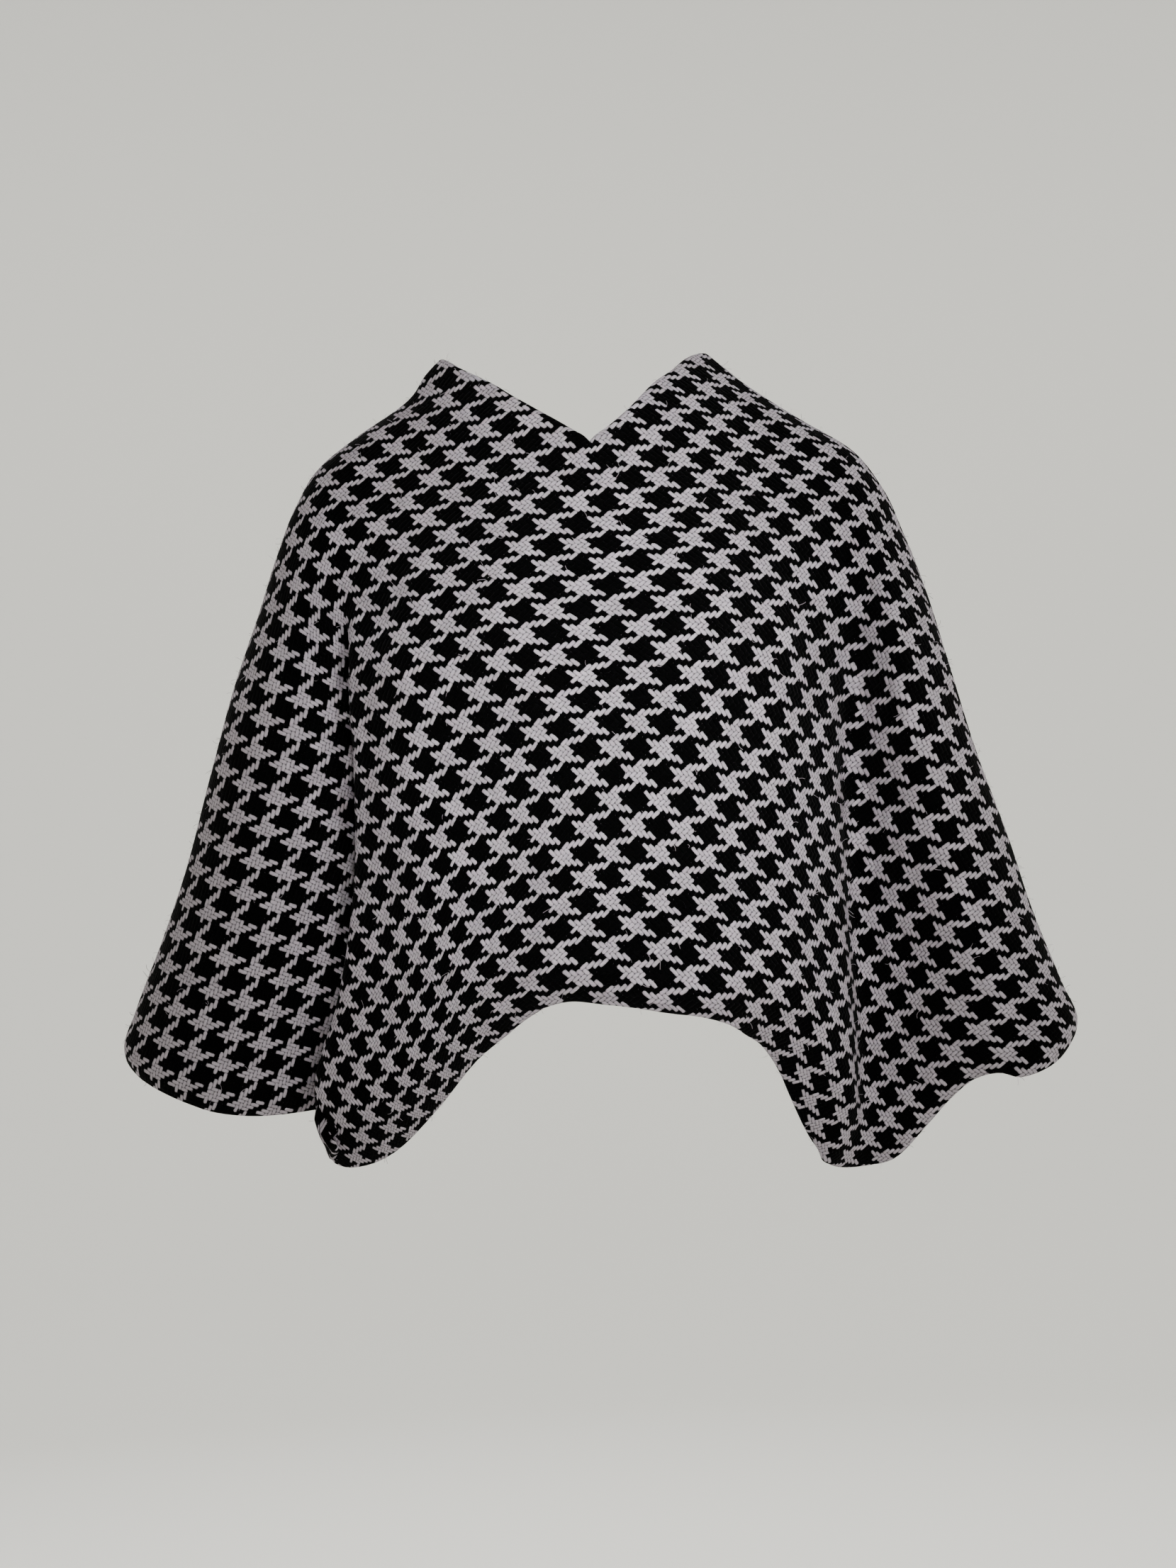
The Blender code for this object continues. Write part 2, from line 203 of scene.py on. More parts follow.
BACK_HEM = (
    (-1.0, -428), (-0.96, -433), (-0.9, -446), (-0.8, -462), (-0.72, -467), (-0.6, -471), (-0.5, -464),
    (-0.413, -443), (-0.326, -420), (-0.2, -406), (0.0, -404), (0.2, -407), (0.326, -423),
    (0.412, -444), (0.5, -466), (0.6, -474), (0.72, -466), (0.8, -461), (0.88, -454), (0.95, -439),
    (1.0, -433),
)
print("the V is", FRONT_NECK[0][1] - min(height for _, height in FRONT_NECK), "mm deep")

# %% [markdown]
# ## From tables to a smooth face
#
# A smooth curve through a few knots is all that is needed. It is used down the columns of a table, to
# find a section at any height, and again across the section, to find any point on it. The grid that
# comes out has one axis across the panel and one down it, which later makes the wall, the weave and
# the turned edges simple.


# %% A smooth curve through knots
def columns(names, rows):
    """A table's rows as a dictionary of named columns, lowest key first."""
    ordered = sorted(rows)
    return {name: np.array([row[i] for row in ordered], float) for i, name in enumerate(names.split())}


def hermite(part, width, before, after, slope_before, slope_after):
    """A point of the smooth curve between two knots."""
    return (
        before * (1 + 2 * part) * (1 - part) ** 2
        + slope_before * width * part * (1 - part) ** 2
        + after * part**2 * (3 - 2 * part)
        - slope_after * width * part**2 * (1 - part)
    )


def inner_slopes(steps, rises):
    """The slope at each inner knot, from the rises on its two sides."""
    return (rises[:-1] * steps[1:] + rises[1:] * steps[:-1]) / (steps[:-1] + steps[1:])


def step_at(where, knots):
    """The number of the step between knots that each place lies in."""
    return np.clip(np.searchsorted(knots, where, side="right") - 1, 0, len(knots) - 2)


def smooth(where, knots, values, end_slopes=None):
    """A smooth curve through values at knots, read at where."""
    steps = np.diff(knots)
    rises = np.diff(values) / steps
    slopes = np.concatenate([rises[:1], inner_slopes(steps, rises), rises[-1:]])
    if end_slopes is not None:
        slopes[0], slopes[-1] = end_slopes
    place = step_at(where, knots)
    part = (where - knots[place]) / steps[place]
    return hermite(part, steps[place], values[place], values[place + 1], slopes[place], slopes[place + 1])


# %% A point of any section
# The gap between the panels at a seam, and how much steeper than its first stretch a section leaves it
SEAM_GAP = 0.3
SEAM_SLOPE = 1.5


def section_points(panel, heights):
    """The named points of the sections at these heights, from the -X seam to the +X seam."""
    sides = []
    for table, side in ((panel["right_arm"], -1), (panel["left_arm"], 1)):
        half = []
        for name in ACROSS:
            x = smooth(heights, table["height"], table[name + "_x"])
            if name == "outer":
                y = np.full_like(x, SEAM_GAP / 2)
            else:
                y = smooth(heights, table["height"], table[name + "_y"])
            half.append(np.stack([side * x, panel["facing"] * y], axis=-1))
        sides.append(half)
    tables = (panel["right_arm"], panel["left_arm"])
    centre_y = sum(smooth(heights, table["height"], table["centre_y"]) for table in tables) / 2
    centre = np.stack([np.zeros_like(centre_y), panel["facing"] * centre_y], axis=-1)
    return np.stack(sides[0] + [centre] + sides[1][::-1])


def section(panel, across, heights):
    """Points on the panel's outer face, for arrays of places across and heights."""
    places = list(ACROSS.values())
    knots = np.array([-place for place in places] + [0.0] + places[::-1])
    named = section_points(panel, heights.ravel())
    flat = across.ravel()
    steps = np.diff(knots)[:, None, None]
    rises = np.diff(named, axis=0) / steps
    slopes = np.empty_like(named)
    slopes[1:-1] = inner_slopes(steps, rises)
    # Each section leaves its seam straight forwards or backwards, so that the panels meet smoothly.
    for end, rise in ((0, rises[0]), (-1, rises[-1])):
        slopes[end, :, 0] = 0.0
        slopes[end, :, 1] = rise[:, 1] * SEAM_SLOPE
    place = step_at(flat, knots)
    width = (knots[place + 1] - knots[place])[:, None]
    part = (flat - knots[place])[:, None] / width
    item = np.arange(len(flat))
    before, after = named[place, item], named[place + 1, item]
    level = hermite(part, width, before, after, slopes[place, item], slopes[place + 1, item])
    return np.concatenate([level, heights.reshape(-1, 1)], axis=1).reshape(across.shape + (3,))


# %% Directions and distances on the cloth
TINY = 1e-9


def unit(vectors):
    """Vectors of length one, in the same directions."""
    return vectors / np.maximum(np.linalg.norm(vectors, axis=-1, keepdims=True), TINY)


def face_normals(face, facing):
    """Directions out of the cloth. At the seams they stay in the seam's plane."""
    along = np.gradient(face, axis=0)
    down = np.gradient(face, axis=1)
    normals = unit(np.cross(along, down) * facing)
    normals[[0, -1], :, 1] = 0.0
    return unit(normals)


def step_lengths(face, axis):
    """The lengths of the grid's steps along one axis."""
    return np.linalg.norm(np.diff(face, axis=axis), axis=-1)


def sums_so_far(lengths, axis):
    """Sums of the lengths up to each point along one axis, from 0 at the first."""
    first = np.zeros_like(np.take(lengths, [0], axis=axis))
    return np.concatenate([first, np.cumsum(lengths, axis=axis)], axis=axis)


def edge_distances(face):
    """How far along the cloth each point is from the neck edge and from the hem."""
    from_neck = sums_so_far(step_lengths(face, 1), 1)
    return from_neck, from_neck[:, -1:] - from_neck


# %% The grid of each panel
# The columns stand closest in the valleys and round the flanks, where the cloth bends most.
COLUMN_SHARE = (0.0, 0.26, 0.76, 1.0)
COLUMN_PLACE = (0.0, 0.34, 0.72, 1.0)
COUNT_ACROSS = 208
COUNT_DOWN = 144


def panel_grid(panel):
    """Places across and heights of the grid: seam to seam, and neck to hem."""
    share = np.linspace(-1.0, 1.0, COUNT_ACROSS + 1)
    across = np.sign(share) * np.interp(np.abs(share), COLUMN_SHARE, COLUMN_PLACE)
    top = smooth(across, panel["neck"]["across"], panel["neck"]["height"], (0.0, 0.0))
    bottom = smooth(across, panel["hem"]["across"], panel["hem"]["height"], (0.0, 0.0))
    down = np.linspace(0.0, 1.0, COUNT_DOWN + 1)
    heights = top[:, None] + (bottom - top)[:, None] * down[None, :]
    return np.repeat(across[:, None], COUNT_DOWN + 1, axis=1), heights


PANELS = {
    "front": {
        "facing": -1.0,
        "right_arm": columns(COLUMNS, FRONT_RIGHT_ARM),
        "left_arm": columns(COLUMNS, FRONT_LEFT_ARM),
        "neck": columns(LINE_COLUMNS, FRONT_NECK),
        "hem": columns(LINE_COLUMNS, FRONT_HEM),
    },
    "back": {
        "facing": 1.0,
        "right_arm": columns(COLUMNS, BACK_RIGHT_ARM),
        "left_arm": columns(COLUMNS, BACK_LEFT_ARM),
        "neck": columns(LINE_COLUMNS, BACK_NECK),
        "hem": columns(LINE_COLUMNS, BACK_HEM),
    },
}
for name, panel in PANELS.items():
    panel["across"], panel["heights"] = panel_grid(panel)
    panel["plain"] = section(panel, panel["across"], panel["heights"])
    print(name, "grid", panel["plain"].shape[:2])

# %% [markdown]
# ## Folds placed one by one
#
# Thick wool makes few folds, and soft ones. The deep valleys beside the body are already in the
# sections. On the front, two long creases and two broad ridges beside them deepen them a little. The
# other rows are the drag lines from the shoulders, the dimples beside the arms and shallow waves over
# the body. Each row gives three places that the crease passes through, how far it sinks (or rises, with
# a minus), and its half width. A crease is widest and deepest at its middle and fades at both ends. The
# hem curls under, furthest at the lobes, and a table of its own says how far.

# %% Fold tables
FOLD_COLUMNS = "start_across start_height mid_across mid_height end_across end_height depth width"
FRONT_FOLDS = (
    (-0.72, -60, -0.5, -105, -0.3, -160, 3.0, 26),
    (-0.62, -150, -0.64, -300, -0.6, -440, 5.0, 18),
    (-0.42, -100, -0.4, -250, -0.4, -410, -12.0, 42),
    (0.42, -110, 0.41, -260, 0.4, -420, -8.0, 40),
    (0.62, -150, 0.62, -300, 0.6, -420, 3.0, 16),
    (0.66, -50, 0.5, -95, 0.32, -130, 2.6, 24),
    (-0.86, -180, -0.82, -260, -0.84, -350, 1.8, 20),
    (0.84, -120, 0.88, -240, 0.84, -340, 1.6, 22),
    (0.78, -470, 0.82, -440, 0.86, -405, 6.0, 14),
    (-0.12, -40, -0.05, -110, -0.1, -190, 1.2, 34),
    (0.2, -230, 0.14, -300, 0.17, -380, 1.4, 30),
    (-0.24, -260, -0.2, -330, -0.22, -400, -1.6, 26),
)
BACK_FOLDS = (
    (-0.7, -50, -0.48, -100, -0.26, -150, 2.8, 26),
    (0.68, -60, 0.46, -105, 0.24, -170, 2.6, 28),
    (-0.1, -60, 0.0, -150, -0.06, -250, 1.6, 36),
    (0.16, -220, 0.2, -310, 0.15, -390, 1.8, 30),
    (-0.24, -240, -0.2, -320, -0.24, -400, -1.8, 30),
    (-0.84, -160, -0.88, -260, -0.83, -360, 1.8, 22),
    (0.86, -150, 0.83, -270, 0.86, -370, 1.8, 22),
)
CURL_COLUMNS = "across reach depth"
CURL_DROP = 0.14
FRONT_CURL = (
    (-1.0, 12, 3), (-0.8, 16, 5), (-0.64, 20, 6), (-0.56, 36, 16), (-0.48, 58, 34), (-0.42, 64, 42),
    (-0.36, 60, 38), (-0.3, 48, 27), (-0.22, 32, 15), (0.0, 20, 9), (0.16, 22, 10), (0.3, 32, 15),
    (0.38, 48, 26), (0.44, 56, 33), (0.5, 52, 28), (0.58, 40, 18), (0.7, 24, 9), (0.82, 16, 5),
    (1.0, 12, 3),
)
BACK_CURL = (
    (-1.0, 10, 2), (-0.8, 14, 4), (-0.6, 26, 9), (-0.4, 24, 8), (0.0, 16, 6), (0.4, 24, 8),
    (0.6, 26, 9), (0.8, 14, 4), (1.0, 10, 2),
)


# %% Sink and raise the folds
CREASE_STEPS = 24
CREASE_END_SHARE = 0.25
CREASE_FADE_POWER = 0.8


def crease_depth(panel, fold):
    """How far one crease sinks each point of the panel."""
    part = np.linspace(0.0, 1.0, CREASE_STEPS)
    bend = 4 * part * (1 - part)
    line = {}
    for key in ("across", "height"):
        start, mid, end = (fold[f"{stage}_{key}"] for stage in ("start", "mid", "end"))
        line[key] = start + (end - start) * part + (mid - (start + end) / 2) * bend
    points = section(panel, line["across"], line["height"])
    nearest = np.full(panel["plain"].shape[:2], np.inf)
    place = np.zeros_like(nearest)
    for step, point in zip(part, points):
        distance = np.linalg.norm(panel["plain"] - point, axis=-1)
        closer = distance < nearest
        nearest[closer] = distance[closer]
        place[closer] = step
    fade = CREASE_END_SHARE + (1 - CREASE_END_SHARE) * np.sin(np.pi * place) ** CREASE_FADE_POWER
    return fold["depth"] * fade * np.exp(-((nearest / (fold["width"] * fade)) ** 2))


def draped(panel, folds, curl):
    """The panel's face with its creases, and its hem curled under."""
    normals = face_normals(panel["plain"], panel["facing"])
    depth = np.zeros(panel["plain"].shape[:2])
    for row in folds:
        depth += crease_depth(panel, dict(zip(FOLD_COLUMNS.split(), row)))
    from_neck, from_hem = edge_distances(panel["plain"])
    reach = smooth(panel["across"], curl["across"], curl["reach"])
    turned = np.clip(1 - from_hem / reach, 0, 1) ** 2
    curl_depth = smooth(panel["across"], curl["across"], curl["depth"]) * turned
    face = panel["plain"] - normals * (depth + curl_depth)[:, :, None]
    face[:, :, 2] -= CURL_DROP * curl_depth
    return face


for name, folds, curl in (("front", FRONT_FOLDS, FRONT_CURL), ("back", BACK_FOLDS, BACK_CURL)):
    panel = PANELS[name]
    panel["face"] = draped(panel, folds, columns(CURL_COLUMNS, curl))
    moved = np.linalg.norm(panel["face"] - panel["plain"], axis=-1)
    print(name, "folds move the cloth up to", round(moved.max(), 1), "mm")

# %% [markdown]
# ## Laying the cloth flat
#
# To know how much cloth a panel takes, it is unrolled. Its grid is treated as a net of springs that keep
# their worn lengths, and the net is allowed to settle on a table. Settling a coarse net first, and then
# finer ones, makes it quick. The result is the shape that the panel was cut to.

# %% Spring lengths at each fineness
# Grid steps in one step of the net, and how many rounds it settles for
NET_STEPS = ((16, 1500), (8, 800), (4, 400), (2, 200), (1, 100))


def net_lengths(face, step):
    """The worn lengths of a net's sides and diagonals, measured along the cloth."""
    across, down = step_lengths(face, 0), step_lengths(face, 1)
    along_unit = unit(np.diff(face, axis=0))[:, :-1]
    down_unit = unit(np.diff(face, axis=1))[:-1]
    lean = (along_unit * down_unit).sum(axis=-1)
    blocks = (len(lean) // step, step, lean.shape[1] // step, step)
    lean = lean.reshape(blocks).mean(axis=(1, 3))
    across = across.reshape(blocks[0], step, -1).sum(axis=1)[:, ::step]
    down = down.reshape(len(down), -1, step).sum(axis=2)[::step]
    wide = (across[:, :-1] + across[:, 1:]) / 2
    tall = (down[:-1] + down[1:]) / 2
    falling = np.sqrt(wide**2 + tall**2 + 2 * wide * tall * lean)
    rising = np.sqrt(wide**2 + tall**2 - 2 * wide * tall * lean)
    return across, down, falling, rising


# %% Let the net settle
HEAD, TAIL, ALL = slice(None, -1), slice(1, None), slice(None)
SPRINGS = (
    ((HEAD, ALL), (TAIL, ALL)),
    ((ALL, HEAD), (ALL, TAIL)),
    ((HEAD, HEAD), (TAIL, TAIL)),
    ((HEAD, TAIL), (TAIL, HEAD)),
)
# Each round moves a point by its springs' mean pull times the push, and by a share of its last move.
SETTLE_PUSH = 1.6
SETTLE_SWING = 0.9


def settle(flat, lengths, rounds):
    """Moves the net until its springs are near their worn lengths."""
    count = np.zeros(flat.shape[:2] + (1,))
    for first, second in SPRINGS:
        count[first] += 1
        count[second] += 1
    before = flat.copy()
    for _ in range(rounds):
        push = np.zeros_like(flat)
        for (first, second), length in zip(SPRINGS, lengths):
            gap = flat[second] - flat[first]
            now = np.linalg.norm(gap, axis=-1)
            step = gap * ((now - length) / np.maximum(now, TINY) / 2)[:, :, None]
            push[first] += step
            push[second] -= step
        flat, before = flat + push * SETTLE_PUSH / count + SETTLE_SWING * (flat - before), flat
    return flat


def finer(values, axis):
    """Twice as many steps along one axis, with new points half way between the old ones."""
    values = np.moveaxis(values, axis, 0)
    out = np.empty((len(values) * 2 - 1,) + values.shape[1:])
    out[::2] = values
    out[1::2] = (values[:-1] + values[1:]) / 2
    return np.moveaxis(out, 0, axis)


# %% Lay both panels flat
# The panel is turned until its centre line hangs straight down from this row.
LINE_START = COUNT_DOWN // 5
STRETCH_RANKS = (1, 10, 50, 90, 99)


def lay_flat(panel):
    """The panel's cut: each grid point's place on the table, x across as seen from outside, y down."""
    face = panel["face"]
    hand = -panel["facing"]
    flat = None
    for step, rounds in NET_STEPS:
        lengths = net_lengths(face, step)
        if flat is None:
            across, down = lengths[0], lengths[1]
            middle = across.shape[0] // 2
            x, y = sums_so_far(across, 0), sums_so_far(down, 1)
            flat = np.stack([hand * (x - x[middle]), y - panel["heights"][::step, :1]], axis=-1)
        else:
            flat = finer(finer(flat, 0), 1)
        flat = settle(flat, lengths, rounds)
    middle = COUNT_ACROSS // 2
    direction = unit(flat[middle, -1] - flat[middle, LINE_START])
    turn = np.array([[direction[1], -direction[0]], direction]).T
    return (flat - flat[middle, 0]) @ turn


def stretch(panel):
    """How far the settled net is from its worn lengths, as shares at a few ranks."""
    shares = []
    lengths = net_lengths(panel["face"], 1)
    for (first, second), length in zip(SPRINGS, lengths):
        gap = panel["flat"][second] - panel["flat"][first]
        shares.append((np.linalg.norm(gap, axis=-1) / length).ravel())
    return np.percentile(np.concatenate(shares), STRETCH_RANKS)


for name, panel in PANELS.items():
    panel["flat"] = lay_flat(panel)
    size = panel["flat"].max(axis=(0, 1)) - panel["flat"].min(axis=(0, 1))
    print(name, "lies flat in", size.round(), "mm; stretch", stretch(panel).round(3))

# %% [markdown]
# ## Letting the threads creep
#
# Woven cloth gives in one way that paper does not. Its threads slide round each other, and the squares
# between them lean over into diamonds. That is how one flat cloth follows two arms and a chest. So the
# threads start straight on the table, with the warp aslant, and two charts say how far they have crept,
# in threads: across the columns the cloth runs from one arm to the other as seen from outside, and down
# the rows from the shoulders to the hem. The places of the threads are the UV map.
#
# The numbers in the charts weren't chosen by hand. A fitting program worked them out, so that the stars
# on the front lie where the photograph has them. The back uses the same charts, as a guess.

# %% Charts of the creep
THREAD_PITCH = 3.1
WARP_ANGLE = 40.8
CREEP_X = (-480, -370, -280, -190, -95, 0, 95, 190, 280, 370, 480)
CREEP_Y = (-105, -25, 55, 135, 215, 295, 375, 455, 535)
WARP_CREEP = (
    (10.1, 5.4, 0.8, -2.6, 0.5, -3.7, -7.9, -7.6, -7.0, -6.5, -6.1),
    (8.6, 6.0, 4.2, 1.8, 2.0, -0.2, -4.6, -5.0, -4.8, -5.6, -6.5),
    (7.0, 5.6, 4.6, 11.0, 6.4, 2.1, -1.3, -4.0, -3.6, -4.9, -6.8),
    (4.4, 4.0, 3.3, 7.8, 10.2, 5.9, 2.8, -1.0, -1.5, -4.4, -6.6),
    (-0.5, -0.5, 0.9, 3.6, 7.9, 9.1, 6.7, 3.4, 1.5, -1.9, -5.1),
    (-10.5, -5.6, -1.3, 0.0, 7.8, 10.8, 8.3, 6.4, 5.6, 2.2, -1.8),
    (-16.0, -10.5, -5.0, -2.1, 12.4, 13.5, 9.2, 5.6, 9.8, 7.4, 3.3),
    (-20.8, -14.3, -9.6, 0.6, 19.9, 15.8, 8.9, 7.3, 13.0, 11.6, 9.4),
    (-26.6, -19.8, -11.7, -0.3, 11.0, 15.5, 14.8, 14.1, 15.0, 15.3, 15.5),
)
WEFT_CREEP = (
    (20.2, 16.0, 11.8, 8.0, 5.8, 5.6, 1.7, -4.5, -9.6, -14.9, -19.9),
    (15.3, 12.6, 9.9, 5.7, 3.6, 5.9, 4.1, -0.2, -7.3, -13.3, -18.4),
    (10.3, 8.9, 6.7, 2.4, 3.9, 3.7, 5.3, 5.7, -6.2, -11.4, -17.1),
    (5.4, 5.7, 4.0, 2.9, 4.0, 4.6, 5.8, 1.3, -1.0, -8.6, -17.1),
    (1.1, 3.6, 4.0, 3.5, 3.6, 4.1, 0.0, -6.0, -6.9, -10.8, -18.8),
    (1.1, 4.7, 6.6, 4.2, 2.0, 1.3, -2.7, -10.4, -13.7, -17.1, -22.6),
    (4.3, 7.7, 10.4, 4.5, -2.2, 0.3, -2.6, -10.7, -19.3, -21.9, -26.7),
    (8.2, 13.2, 15.2, 2.9, -6.0, -2.7, -1.5, -13.2, -22.4, -21.2, -26.8),
    (16.2, 16.0, 12.7, 5.7, 0.5, -3.5, -8.0, -15.5, -21.9, -24.5, -26.9),
)


# %% The places of the threads
def creep(chart, flat):
    """Threads of creep at places on the table: a smooth curve across each row, and between rows."""
    total = np.zeros(flat.shape[:2])
    for place, row in enumerate(np.array(chart)):
        share = smooth(flat[:, :, 1], np.array(CREEP_Y, float), np.eye(len(CREEP_Y))[place])
        total += share * smooth(flat[:, :, 0], np.array(CREEP_X, float), row)
    return total


def thread_places(flat):
    """Millimetres along warp and weft of places on the table."""
    angle = math.radians(WARP_ANGLE)
    warp = np.array([math.cos(angle), math.sin(angle)])
    weft = np.array([-math.sin(angle), math.cos(angle)])
    slid = [creep(chart, flat) * THREAD_PITCH for chart in (WARP_CREEP, WEFT_CREEP)]
    return np.stack([flat @ warp + slid[0], flat @ weft + slid[1]], axis=-1)


for name, panel in PANELS.items():
    panel["threads"] = thread_places(panel["flat"])
    spread = panel["threads"].max(axis=(0, 1)) - panel["threads"].min(axis=(0, 1))
    print(name, "has", *(spread / THREAD_PITCH).round().astype(int), "threads, warp and weft")

# %% [markdown]
# ## A wall with turned edges
#
# The cloth is 3 mm thick, and its neck and hem are turned in about 30 mm, so they look twice as thick
# and round. Each panel becomes one closed wall: the outer face, a half round at the hem, the inner
# face, and a half round at the neck. The turned-in part carries the pattern on round the edge, and the
# inner face behind it shows the same threads from their other side.

# %% Thickness and rounded edges
WALL = 3.0
TURNED_WALL = 6.4
TURN_DEPTH = 30.0
TURN_STEP = 5.0
ROUND_STEPS = 7
SEAM_DIP = 0.9
SEAM_DIP_REACH = 5.0
EDGE_SWELL = 0.8
EDGE_SWELL_STEP = 14.0


def ease(value):
    """A smooth rise from 0 to 1, which are also its values below and above."""
    value = np.clip(value, 0.0, 1.0)
    return value * value * (3 - 2 * value)


def wall_thickness(face):
    """One layer in the field of the panel, and the turned-in edge as well near the neck and hem."""
    nearest = np.minimum(*edge_distances(face))
    return WALL + (TURNED_WALL - WALL) * ease((TURN_DEPTH - nearest) / TURN_STEP)


def edge_round(face, normals, thickness, row, away):
    """The half round of one turned edge, from the outer face to the inner, a row of points a step."""
    line = face[:, row]
    out = np.cross(unit(np.gradient(line, axis=0)), normals[:, row])
    out = unit(out * np.sign((out * away).sum(axis=-1, keepdims=True)))
    out[[0, -1], 1] = 0.0
    out = unit(out)
    radius = thickness[:, row, None] / 2
    middle = line - normals[:, row] * radius
    angles = np.pi * np.arange(1, ROUND_STEPS + 1) / (ROUND_STEPS + 1)
    steps = [np.cos(angle) * normals[:, row] + np.sin(angle) * out for angle in angles]
    return np.stack([middle + radius * step for step in steps], axis=1)


def finish_face(panel):
    """Small swellings over the turned edges, and the dip where two panels are sewn together."""
    face = panel["face"]
    normals = face_normals(face, panel["facing"])
    nearest = np.minimum(*edge_distances(face))
    lift = EDGE_SWELL * ease((TURN_DEPTH - nearest) / EDGE_SWELL_STEP)
    from_seam = sums_so_far(step_lengths(face, 0), 0)
    from_seam = np.minimum(from_seam, from_seam[-1] - from_seam)
    lift -= SEAM_DIP * np.exp(-((from_seam / SEAM_DIP_REACH) ** 2))
    return face + normals * lift[:, :, None]


# %% Loops of points round the wall
def edge_threads(flat, thickness, row, next_row):
    """The threads round one turned edge, and those of the turned-in part behind the panel."""
    edge = flat[:, row, None]
    half_turn = thickness[:, row, None, None] * np.pi / 2
    out = unit(flat[:, row] - flat[:, next_row])[:, None] * half_turn
    part = (np.arange(1, ROUND_STEPS + 1) / (ROUND_STEPS + 1))[None, :, None]
    behind = 2 * edge + out - flat
    return np.concatenate([edge, edge + out * part, behind[:, row, None]], axis=1), behind


def around(panel):
    """Closed loops of points round the wall, and the thread place of each side's start and end."""
    face = finish_face(panel)
    flat = panel["threads"]
    normals = face_normals(face, panel["facing"])
    thickness = wall_thickness(face)
    inner_face = face - normals * thickness[:, :, None]
    hem = edge_round(face, normals, thickness, -1, face[:, -1] - face[:, -2])
    neck = edge_round(face, normals, thickness, 0, face[:, 0] - face[:, 1])
    loops = np.concatenate([face, hem, inner_face[:, ::-1], neck[:, ::-1]], axis=1)
    turned_hem, behind_hem = edge_threads(flat, thickness, -1, -2)
    turned_neck, behind_neck = edge_threads(flat, thickness, 0, 1)
    turned_neck = turned_neck[:, ::-1]
    # The turned-in parts behind the neck and behind the hem
    zones = [(far[:, :-1] + far[:, 1:])[:, :, None] / 2 < TURN_DEPTH for far in edge_distances(face)]
    inner = []
    for rows in (TAIL, HEAD):
        field = np.where(zones[0], behind_neck[:, rows], flat[:, rows])
        inner.append(np.where(zones[1], behind_hem[:, rows], field)[:, ::-1])
    start = [flat[:, :-1], turned_hem[:, :-1], inner[0], turned_neck[:, :-1]]
    end = [flat[:, 1:], turned_hem[:, 1:], inner[1], turned_neck[:, 1:]]
    return loops, np.concatenate(start, axis=1), np.concatenate(end, axis=1)


# %% One closed mesh for each panel
def seam_caps(first):
    """Faces that close the wall along one seam, between the outer and the inner edge."""
    rows = COUNT_DOWN + 1
    inner_last = rows + ROUND_STEPS + rows - 1
    caps = [(row, row + 1, inner_last - row - 1, inner_last - row) for row in range(rows - 1)]
    hem = range(rows - 1, rows + ROUND_STEPS + 1)
    neck = [inner_last + step for step in range(ROUND_STEPS + 1)] + [0]
    caps += [tuple(hem), tuple(neck)]
    return [tuple(first + corner for corner in cap) for cap in caps]


def put_in_scene(name, data):
    """A new object with this name and data, linked to the scene."""
    piece = bpy.data.objects.new(name, data)
    bpy.context.scene.collection.objects.link(piece)
    return piece


def wall_mesh(name, panel):
    """The panel's mesh. The UV map named cut holds the places of the threads, in metres."""
    loops, start, end = around(panel)
    lines, length = loops.shape[:2]
    index = np.arange(lines * length).reshape(lines, length)
    after = np.roll(index, -1, axis=1)
    sides = np.stack([index[:-1], after[:-1], after[1:], index[1:]], axis=-1).reshape(-1, 4)
    corners = np.stack([start[:-1], end[:-1], end[1:], start[1:]], axis=2).reshape(-1, 2)
    faces = [tuple(side) for side in sides.tolist()]
    for line in (0, lines - 1):
        first = line * length
        for cap in seam_caps(first):
            cap = cap if line else cap[::-1]
            faces.append(cap)
            corners = np.concatenate([corners, start[line, [corner - first for corner in cap]]])
    if panel["facing"] > 0:
        faces = [face[::-1] for face in faces]
        counts = np.array([len(face) for face in faces])
        first_corner = np.concatenate([[0], np.cumsum(counts)[:-1]])
        order = np.concatenate([np.arange(count)[::-1] + at for count, at in zip(counts, first_corner)])
        corners = corners[order]
    mesh = bpy.data.meshes.new(name)
    mesh.from_pydata((loops.reshape(-1, 3) * MM).tolist(), [], faces)
    mesh.update()
    layer = mesh.uv_layers.new(name="cut")
    layer.data.foreach_set("uv", (corners * MM).astype(np.float32).ravel())
    mesh.shade_smooth()
    return put_in_scene(name, mesh)


cloth = {name: wall_mesh(name + "_cloth", panel) for name, panel in PANELS.items()}
for name, piece in cloth.items():
    print(name, len(piece.data.polygons) * 2, "triangles")

# %% [markdown]
# ## The weave
#
# Houndstooth is what happens when four light and four dark threads alternate in both directions of a
# 2/2 twill. Each thread goes over two and under two, one step later than its neighbour, so the light
# blocks grow slanted teeth. The material repeats just that rule. It counts threads both ways, decides
# which thread lies on top, and takes that thread's colour. The same count gives each float its plump,
# rounded form for the bump. One thread of this heavy wool is 3.1 mm wide, so a star repeats every
# 24.8 mm. The pale yarn is spun a little thinner than the black, so the count is stretched to suit.


# %% Colours, materials and a helper for nodes
def linear(hex_colour):
    """An sRGB hex colour as linear red, green, blue and alpha."""
    colour = []
    for start in (1, 3, 5):
        part = int(hex_colour[start : start + 2], 16) / 255
        colour.append(part / 12.92 if part <= 0.04045 else ((part + 0.055) / 1.055) ** 2.4)
    return (*colour, 1.0)


def new_material(name):
    """A new material, its tree of nodes and its shader."""
    material = bpy.data.materials.new(name)
    material.use_nodes = True
    return material, material.node_tree, material.node_tree.nodes["Principled BSDF"]


